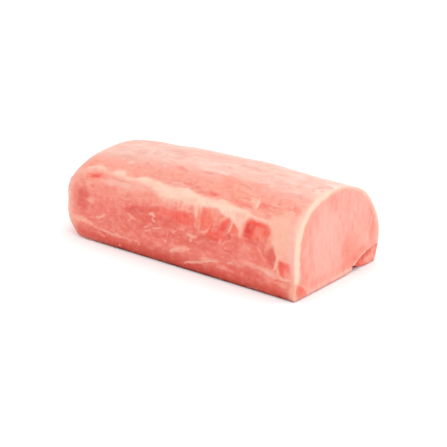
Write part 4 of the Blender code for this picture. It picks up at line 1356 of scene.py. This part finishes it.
def drawn_lines(p, length, width, seed):
    """Light and dark lines side by side along the grain, broken up, like stretched skin."""
    flow = p.copy()
    flow[:, 2] += 0.28 * np.minimum(p[:, 0] + 0.035, 0.0)
    wave = grain(flow, length, width, seed)
    shown = smooth(-0.15, 0.3, grain(flow, 0.8 * length, 2 * width, seed + 1))
    light = smooth(0.0, 0.05, wave) * (1 - smooth(0.10, 0.24, wave))
    dark = smooth(0.0, 0.05, -wave) * (1 - smooth(0.10, 0.24, -wave))
    return light * shown, dark * shown


def far_side(painted, spots, a, r):
    """The side that the photograph doesn't show: a second fat band and lean patches."""
    p = spots.points
    far = smooth(160, 172, spots.round)
    edge_top = 177 + 2.5 * np.sin(spots.along / 17) + 3.0 * grain(p, 24, 30, 113)
    edge_foot = edge_top + 6.0 + 5.0 * grain(p, 13, 30, 85)
    fringe = smooth(-7, 0, r - edge_top) * smooth(-9, 0, edge_foot - r)
    painted = over(painted, 0.55 * far * fringe, "membrane")
    band = smooth(-2.0, 2.4, r - edge_top) * smooth(-2.2, 2.6, edge_foot - r)
    thick = 0.45 + 0.35 * smooth(-0.3, 0.4, grain(p, 19, 6, 115))
    painted = over(painted, thick * far * band, "cream")
    below = smooth(-0.4, 3.5, r - edge_foot) * far
    lean = smooth(0.05, 0.6, grain(p, 22, 7, 87))
    painted = over(painted, 0.45 * below * lean, "coral")
    dark = smooth(0.1, 0.6, grain(p, 15, 5, 89))
    painted = over(painted, 0.40 * below * dark, "wine")
    painted = lined(painted, p, 24, 5, 91, (0.50 * below, "veil"))
    seam = 1 - smooth(0.5, 3.0, np.abs(GIRTH * 1000 - CHAIN_HEIGHT * 1000 - spots.round))
    seam *= smooth(ROUND_X * 1000 - 4, ROUND_X * 1000 + 8, spots.along)
    return over(painted, 0.35 * far * seam, "membrane")


def end_skin(painted, p):
    """Skin drawn over the back of the rounded end, paler with height."""
    share = smooth(*END_SKIN_X, p[:, 0]) * smooth(*END_SKIN_Y, p[:, 1])
    share *= 0.80 * (1 - smooth(*END_SKIN_TOP, p[:, 2]))
    height = 1000 * p[:, 2] + 7 * grain(p, 14, 14, 119)
    skin = lined(ramp(height, END_SKIN), p, 13, 4, 121, (0.5, "pale"), (0.5, "rosy"))
    return mixed(painted, skin, share)


def paint_cut(y, z):
    """Colours of the knife cut at places before centring, in metres."""
    a, r = roughened_cut(y, z)
    points = on_cut(y, z)
    depth = dome_depth(y, z) * 1000
    painted = patched(np.tile(colour("cut_mid"), (len(y), 1)), a, r, CUT_PATCHES, 0.6)
    streak = upright_grain(points, 2.6, 11, 93)
    painted = two_toned(painted, streak, 0.1, 0.6, (0.30, "cut_light"), (0.28, "cut_red"))
    thread = upright_grain(points, 1.7, 8, 95)
    painted = over(painted, 0.30 * smooth(0.3, 0.7, thread), "pale")
    painted = over(painted, 0.34 * smooth(0.35, 0.7, -thread), "cut_red")
    chain = chain_share(y, z)
    strip = strip_share(y, z)
    painted = patched(painted, a, r, CUT_CHAIN, 0.4, chain)
    knots = upright_grain(points, 2.6, 2.2, 97)
    painted = two_toned(painted, knots, 0.1, 0.6, (chain * 0.45, "garnet"), (chain * 0.30, "veil"))
    rim = rim_thickness(y, z)
    soft = np.interp(a, (-40, -20), (0.0, 1.0))
    fat = (1 - smooth(rim - 1.3 - 1.2 * soft, rim + 1.0 + 0.8 * soft, depth)) * (1 - chain) * (1 - strip)
    painted = over(painted, fat * np.interp(a, (-20, 10, 40, 62), (0.95, 0.85, 0.7, 0.6)), "cream")
    foot = strip * (1 - smooth(1.6, 3.2, depth))
    painted = over(painted, 0.8 * foot, "peach")
    painted = stroked(painted, a, r, CUT_STROKES, CUT_CRACKS, 0.6)
    # Painted shade in the hollow under the chain muscle.
    painted = over(painted, 0.9 * groove_share(y, z), "shadow")
    # Painted contact shade along the knife cut's bottom edge, where it meets the floor.
    return over(painted, 0.75 * (1 - smooth(0.5, 1.4, z * 1000)), "deep")


def paint_under(points):
    """Colours of the flat underside: lean meat with pale seams of skin."""
    painted = np.tile(colour("flesh"), (len(points), 1))
    streak = grain(points, 26, 3.0, 99)
    painted = two_toned(painted, streak, 0.0, 0.6, (0.5, "salmon"), (0.5, "wine"))
    skin = smooth(0.15, 0.5, grain(points, 24, 11, 101))
    return over(painted, 0.35 * skin, "veil")


def paint(obj, veil=0.0):
    """Writes the piece's colours on its points, and how fat each place is."""
    mesh = obj.data
    co = read_points(mesh)
    x, y, z = unplace(co)
    spots = on_chart(np.maximum(x, -LENGTH / 2 + 0.0001) * 1000, spoke_girth(y, z) * 1000)
    behind = np.where(dome_depth(y, z) > EDGE_WIDTH, CUT_REACH, CUT_REACH_AT_EDGE)
    cut = smooth(CUT_X - behind, CUT_X - 0.4 * behind, x)
    under = spoke(y, z)[1] * smooth(*UNDER_EDGE, HALF_BASE - np.abs(y))
    painted = paint_outside(spots)
    painted = over(painted, np.full(len(co), veil), "peach")
    painted = mixed(painted, paint_under(co), under * (1 - cut))
    tip = 1 - smooth(-LENGTH / 2 + TIP_REACH[0], -LENGTH / 2 + TIP_REACH[1], co[:, 0])
    painted = over(painted, 0.75 * tip, "peach")
    painted = end_skin(painted, co)
    painted = mixed(painted, paint_cut(y, z), cut)
    # Painted shade on the walls of the hollow under the chain muscle.
    in_groove = groove_share(y, z) * (x > CUT_X - 2 * GROOVE_DEPTH)
    painted = over(painted, 0.9 * in_groove, "shadow")
    painted = (painted - finish().studio_gloss) / finish().studio_light
    rgba = np.concatenate([np.clip(painted, 0, 1), np.ones((len(co), 1))], axis=1)
    layer = mesh.color_attributes.new("paint", "FLOAT_COLOR", "POINT")
    layer.data.foreach_set("color", rgba.ravel().astype(np.float32))
    fat = smooth(*FAT_BRIGHTNESS, painted @ np.array(LUMINANCE))
    fat_layer = mesh.attributes.new("fat", "FLOAT", "POINT")
    fat_layer.data.foreach_set("value", fat.astype(np.float32))


def settle(obj):
    """Moves a finished mesh from the straight prism's middle to the frame's."""
    points = read_points(obj.data)
    points[:, 1] += CENTRING
    write_points(obj.data, points)


# ---------------------------------------------------------------- materials
def fill(tree, made, *values, **named):
    """Fills a node's sockets, in order or by name, with values or with links from sockets."""
    sockets = [*zip(made.inputs, values)]
    sockets += [(made.inputs[name.replace("_", " ")], value) for name, value in named.items()]
    for socket, value in sockets:
        if isinstance(value, bpy.types.NodeSocket):
            tree.links.new(value, socket)
        else:
            socket.default_value = value


def node(tree, kind, place_, *values, setting=None, **named):
    """Adds a shader node, with one setting of its own if need be, and fills its sockets."""
    made = tree.nodes.new(kind)
    made.location = place_
    if setting:
        setattr(made, *setting)
    fill(tree, made, *values, **named)
    return made


def wet_meat():
    """Gloss and glow that the meat and the skin share, by shader socket."""
    return {"Specular_IOR_Level": SPECULAR, "Coat_Weight": finish().coat,
            "Coat_Roughness": finish().coat_roughness, "Subsurface_Weight": finish().glow,
            "Subsurface_Scale": finish().glow_depth, "Subsurface_Radius": GLOW_RADIUS}


def blank_material(name):
    """A new material, and its node tree."""
    material = bpy.data.materials.new(name)
    material.use_nodes = True
    return material, material.node_tree


def meat_material(name, grain_turn, grain_scale):
    """Painted wet meat with fine fibres that run along the grain."""
    material, tree = blank_material(name)
    tree.nodes.clear()
    place_ = node(tree, "ShaderNodeTexCoord", (-1400, 0)).outputs["Object"]
    grain_place = node(tree, "ShaderNodeMapping", (-1200, 0), Vector=place_, Rotation=grain_turn,
                       Scale=grain_scale).outputs["Vector"]
    fibres, threads, mottle, damp = (
        node(tree, "ShaderNodeTexNoise", (-1000, height), Vector=vector, Scale=scale, Detail=detail,
             Roughness=roughness).outputs["Fac"]
        for height, vector, scale, detail, roughness in (
            (100, grain_place, 1.0, 2.5, 0.5), (-150, grain_place, 2.7, 1.5, 0.5),
            (-400, place_, 240.0, 2.0, 0.5), (-650, place_, 70.0, 3.0, 0.55)))
    painted, fat = (node(tree, "ShaderNodeAttribute", (-800, height), setting=("attribute_name", layer))
                    for layer, height in (("paint", 400), ("fat", 250)))
    tone, fleck = (node(tree, "ShaderNodeMapRange", (-800, height), Value=wave, From_Min=0.3,
                        From_Max=0.7, To_Min=0.985, To_Max=1.015).outputs["Result"]
                   for wave, height in ((fibres, 100), (mottle, -150)))
    both = node(tree, "ShaderNodeMath", (-600, 0), tone, fleck, setting=("operation", "MULTIPLY"))
    even = node(tree, "ShaderNodeMix", (-450, 0), setting=("data_type", "FLOAT"),
                Factor=fat.outputs["Fac"], A=both.outputs["Value"], B=1.0).outputs["Result"]
    pull = node(tree, "ShaderNodeMapRange", (-400, 450), Value=even, From_Min=0.92, From_Max=1.08,
                To_Min=1.08, To_Max=0.94)
    shade = node(tree, "ShaderNodeHueSaturation", (-150, 300), Hue=0.5,
                 Saturation=pull.outputs["Result"], Value=even, Color=painted.outputs["Color"])
    wet = node(tree, "ShaderNodeMapRange", (200, -200), Value=damp, From_Min=0.35, From_Max=0.65,
               To_Min=0.36, To_Max=0.56)
    weave = node(tree, "ShaderNodeMath", (-600, -300), fibres, threads, setting=("operation", "ADD"))
    coarse = node(tree, "ShaderNodeBump", (200, -500), Strength=0.12, Distance=0.0006,
                  Height=weave.outputs["Value"])
    skin = node(tree, "ShaderNodeBump", (400, -500), Strength=0.06, Distance=0.0005, Height=mottle,
                Normal=coarse.outputs["Normal"])
    shader = node(tree, "ShaderNodeBsdfPrincipled", (600, 0), IOR=MEAT_IOR,
                  Base_Color=shade.outputs["Color"], Roughness=wet.outputs["Result"],
                  Normal=skin.outputs["Normal"], **wet_meat())
    node(tree, "ShaderNodeOutputMaterial", (900, 0), Surface=shader.outputs["BSDF"])
    return material


def outside_material():
    """Meat whose fibres run along the joint, slightly uphill towards the knife cut."""
    return bpy.data.materials.get("meat_outside") or meat_material(
        "meat_outside", (0.0, math.radians(11), 0.0), (150.0, 430.0, 430.0))


def cut_material():
    """Meat whose fibres the knife drew upright."""
    return bpy.data.materials.get("meat_cut") or meat_material(
        "meat_cut", (math.radians(3), 0.0, 0.0), (420.0, 520.0, 120.0))


def skin_material():
    """Thin, wet, whitish skin."""
    material, tree = blank_material("silverskin")
    painted = node(tree, "ShaderNodeAttribute", (-400, 0), setting=("attribute_name", "paint"))
    place_ = node(tree, "ShaderNodeTexCoord", (-900, -300))
    cloudy = node(tree, "ShaderNodeTexNoise", (-700, -300), Vector=place_.outputs["Object"],
                  Scale=420.0, Detail=3.0)
    bump = node(tree, "ShaderNodeBump", (-300, -300), Strength=0.12, Distance=0.0004,
                Height=cloudy.outputs["Fac"])
    fill(tree, tree.nodes["Principled BSDF"], Base_Color=painted.outputs["Color"], Roughness=0.44,
         Normal=bump.outputs["Normal"], **wet_meat())
    return material


def dress(obj, node_name):
    """Cleans and paints a carved piece, and puts it in the place of its node."""
    clean(obj)
    paint(obj)
    mesh = obj.data
    mesh.materials.clear()
    mesh.materials.append(outside_material())
    mesh.materials.append(cut_material())
    count = len(mesh.polygons)
    centre = np.zeros(count * 3)
    normal = np.zeros(count * 3)
    mesh.polygons.foreach_get("center", centre)
    mesh.polygons.foreach_get("normal", normal)
    on_cut_face = (centre[0::3] > CUT_X - CUT_DEPTH) & (normal[0::3] > CUT_FACING)
    mesh.polygons.foreach_set("material_index", on_cut_face.astype(np.int32))
    settle(obj)
    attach(obj, "root")
    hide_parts(node_name)


# ---------------------------------------------------------------- scraps of silverskin
def surface_point(along, round_, lift):
    """Points on the finished outside at chart places, lifted by so many metres."""
    x, girth = along / 1000, round_ / 1000
    reach = 0.0005
    spots = on_chart(along, round_)
    here = spots.points
    ahead = place(x + reach, *dome_point(girth))
    beside = place(x, *dome_point(girth + reach))
    proud = swell(here) + outside_relief(spots) + lift
    return here + unit(np.cross(ahead - here, beside - here)) * proud[:, None]


def scrap(number, points, half_width, lift):
    """One thin, ragged scrap that follows the surface along a stroke."""
    line, arc = spline(points, 12)
    deselect()
    bpy.ops.mesh.primitive_grid_add(x_subdivisions=14, y_subdivisions=4, size=2.0)
    obj = bpy.context.object
    obj.name = f"scrap_{number}"
    co = read_points(obj.data)
    u, v = (co[:, 0] + 1) / 2, co[:, 1]

    def on_line(distance):
        """Chart places at distances along the stroke."""
        return np.array([np.interp(distance, arc, line[:, i]) for i in (0, 1)])

    step = 0.3
    along, round_ = on_line(u * arc[-1])
    turn_a, turn_r = on_line(u * arc[-1] + step) - on_line(u * arc[-1] - step)
    length = np.maximum(np.hypot(turn_a, turn_r), 1e-6)
    ragged = 1 + SCRAP_RAGGEDNESS * cloud(np.stack([u * 8, v * 1.7, 0 * u + number + 0.5], -1), 103)
    wide = half_width * (0.15 + 0.85 * np.sqrt(np.clip(4 * u * (1 - u), 0, 1))) * ragged
    along = along - v * wide * turn_r / length
    round_ = round_ + v * wide * turn_a / length
    rise = SCRAP_CLEARANCE + 0.001 * lift * smooth(0.75, 1.0, u) * (1 - np.abs(v) * 0.5)
    write_points(obj.data, surface_point(along, round_, rise))
    thick = obj.modifiers.new("thickness", "SOLIDIFY")
    thick.thickness = form().scrap_thickness
    thick.offset = 0.0
    bpy.ops.object.modifier_apply(modifier=thick.name)
    return obj


# ---------------------------------------------------------------- light and camera
def camera_axes():
    """Unit vectors back towards the camera, to its right and up."""
    a, e = math.radians(CAMERA_AZIMUTH), math.radians(CAMERA_ELEVATION)
    back = Vector((math.sin(a) * math.cos(e), -math.cos(a) * math.cos(e), math.sin(e)))
    right = Vector((math.cos(a), math.sin(a), 0.0))
    return back, right, back.cross(right)


def area_light(name, place_, size, power):
    """A square softbox that faces the joint."""
    data = bpy.data.lights.new(name, "AREA")
    data.size = size
    data.energy = power
    lamp = bpy.data.objects.new(name, data)
    bpy.context.scene.collection.objects.link(lamp)
    lamp.location = place_
    aim = Vector((0.0, 0.0, TARGET_Z)) - Vector(place_)
    lamp.rotation_euler = aim.to_track_quat("-Z", "Y").to_euler()


# ---------------------------------------------------------------- operators
class PORKLOIN_OT_fat_cap(bpy.types.Operator):
    """The cap of fat and silverskin over the dome, with lean meat showing through"""

    bl_idname = "porkloin.fat_cap"
    bl_label = "Fat Cap"

    def execute(self, context):
        cap = joint_blank("cap_of_fat", form().body_step, CAP_BASE_STEP, CAP_FACE_STEP)
        carve(cap, "DIFFERENCE", core_tool())
        carve(cap, "DIFFERENCE", strip_tool(HAIRLINE))
        carve(cap, "DIFFERENCE", chain_tool(CHAIN_GAP))
        dress(cap, "fat_cap")
        return {"FINISHED"}


class PORKLOIN_OT_eye_muscle(bpy.types.Operator):
    """The large eye muscle, seen on the knife cut and underneath"""

    bl_idname = "porkloin.eye_muscle"
    bl_label = "Eye Muscle"

    def execute(self, context):
        eye = joint_blank("eye_of_loin", EYE_STEP, FINE_STEP, FACE_STEP)
        carve(eye, "INTERSECT", core_tool(HAIRLINE))
        carve(eye, "DIFFERENCE", strip_tool(HAIRLINE))
        carve(eye, "DIFFERENCE", chain_tool(CHAIN_GAP))
        dress(eye, "loin_eye")
        return {"FINISHED"}


class PORKLOIN_OT_side_muscles(bpy.types.Operator):
    """The rib strip along the near foot and the chain muscle along the far one"""

    bl_idname = "porkloin.side_muscles"
    bl_label = "Side Muscles"

    def execute(self, context):
        strip = joint_blank("strip_of_rib_meat", form().body_step, FINE_STEP, FACE_STEP)
        carve(strip, "INTERSECT", strip_tool())
        dress(strip, "rib_strip")
        chain = joint_blank("chain_of_loin", FINE_STEP, FINE_STEP, FACE_STEP)
        carve(chain, "INTERSECT", chain_tool())
        carve(chain, "DIFFERENCE", groove_tool())
        dress(chain, "chain_muscle")
        return {"FINISHED"}


class PORKLOIN_OT_silverskin(bpy.types.Operator):
    """Torn scraps of silverskin that lie on the lean meat"""

    bl_idname = "porkloin.silverskin"
    bl_label = "Silverskin Scraps"

    def execute(self, context):
        made = [scrap(number, *stroke) for number, stroke in enumerate(SCRAPS)]
        pick(made[0])
        for piece in made:
            piece.select_set(True)
        bpy.ops.object.join()
        scraps = bpy.context.object
        scraps.name = scraps.data.name = "scraps_of_silverskin"
        clean(scraps, SCRAP_SMOOTH_ANGLE)
        paint(scraps, SCRAP_VEIL)
        scraps.data.materials.clear()
        scraps.data.materials.append(skin_material())
        settle(scraps)
        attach(scraps, "root")
        return {"FINISHED"}


class PORKLOIN_OT_stage(bpy.types.Operator):
    """White floor, soft studio light and the photograph's camera"""

    bl_idname = "porkloin.stage"
    bl_label = "Stage"

    def execute(self, context):
        scene = context.scene
        deselect()
        bpy.ops.mesh.primitive_plane_add(size=FLOOR_SIZE, location=(0.0, 0.0, -FLOOR_DROP))
        floor = context.object
        floor.name = "studio_floor"
        white, tree = blank_material("studio_white")
        fill(tree, tree.nodes["Principled BSDF"], Base_Color=FLOOR_WHITE, Roughness=0.9,
             Specular_IOR_Level=0.0, Emission_Color=WHITE, Emission_Strength=finish().table_glow)
        floor.data.materials.append(white)

        world = bpy.data.worlds.new("studio")
        scene.world = world
        world.use_nodes = True
        fill(world.node_tree, world.node_tree.nodes["Background"], Color=WHITE,
             Strength=finish().surround)
        area_light("overhead_softbox", KEY_PLACE, KEY_SIZE, finish().key_power)
        area_light("cut_side_softbox", FILL_PLACE, FILL_SIZE, finish().fill_power)
        scene.view_settings.view_transform = "Standard"

        back, right, up = camera_axes()
        data = bpy.data.cameras.new("photo_camera")
        data.lens = CAMERA_LENS
        data.sensor_width = CAMERA_SENSOR
        camera = bpy.data.objects.new("photo_camera", data)
        scene.collection.objects.link(camera)
        target = right * CAMERA_ASIDE + up * CAMERA_ABOVE + Vector((0.0, CENTRING, TARGET_Z))
        turn = Matrix((right, up, back)).transposed().to_4x4()
        camera.matrix_world = Matrix.Translation(target + back * CAMERA_DISTANCE) @ turn
        scene.camera = camera
        return {"FINISHED"}


class PORKLOIN_PT_panel(bpy.types.Panel):
    """Lists the pieces and their settings"""

    bl_idname = "PORKLOIN_PT_panel"
    bl_label = "Pork Loin"
    bl_space_type = "VIEW_3D"
    bl_region_type = "UI"
    bl_category = "Pork Loin"

    def draw(self, context):
        layout = self.layout
        for operator in OPERATORS:
            layout.operator(operator.bl_idname)
        for group, kind in SETTINGS.items():
            box = layout.box()
            for name in kind.__annotations__:
                box.prop(getattr(context.scene, group), name)


OPERATORS = (
    PORKLOIN_OT_fat_cap,
    PORKLOIN_OT_eye_muscle,
    PORKLOIN_OT_side_muscles,
    PORKLOIN_OT_silverskin,
    PORKLOIN_OT_stage,
)
CLASSES = (*SETTINGS.values(), *OPERATORS, PORKLOIN_PT_panel)


def register():
    for cls in CLASSES:
        bpy.utils.register_class(cls)
    for group, kind in SETTINGS.items():
        setattr(bpy.types.Scene, group, bpy.props.PointerProperty(type=kind))


def unregister():
    for group in SETTINGS:
        delattr(bpy.types.Scene, group)
    for cls in reversed(CLASSES):
        bpy.utils.unregister_class(cls)


def main():
    register()
    bpy.ops.porkloin.fat_cap()
    bpy.ops.porkloin.eye_muscle()
    bpy.ops.porkloin.side_muscles()
    bpy.ops.porkloin.silverskin()
    bpy.ops.porkloin.stage()


if __name__ == "__main__":
    main()
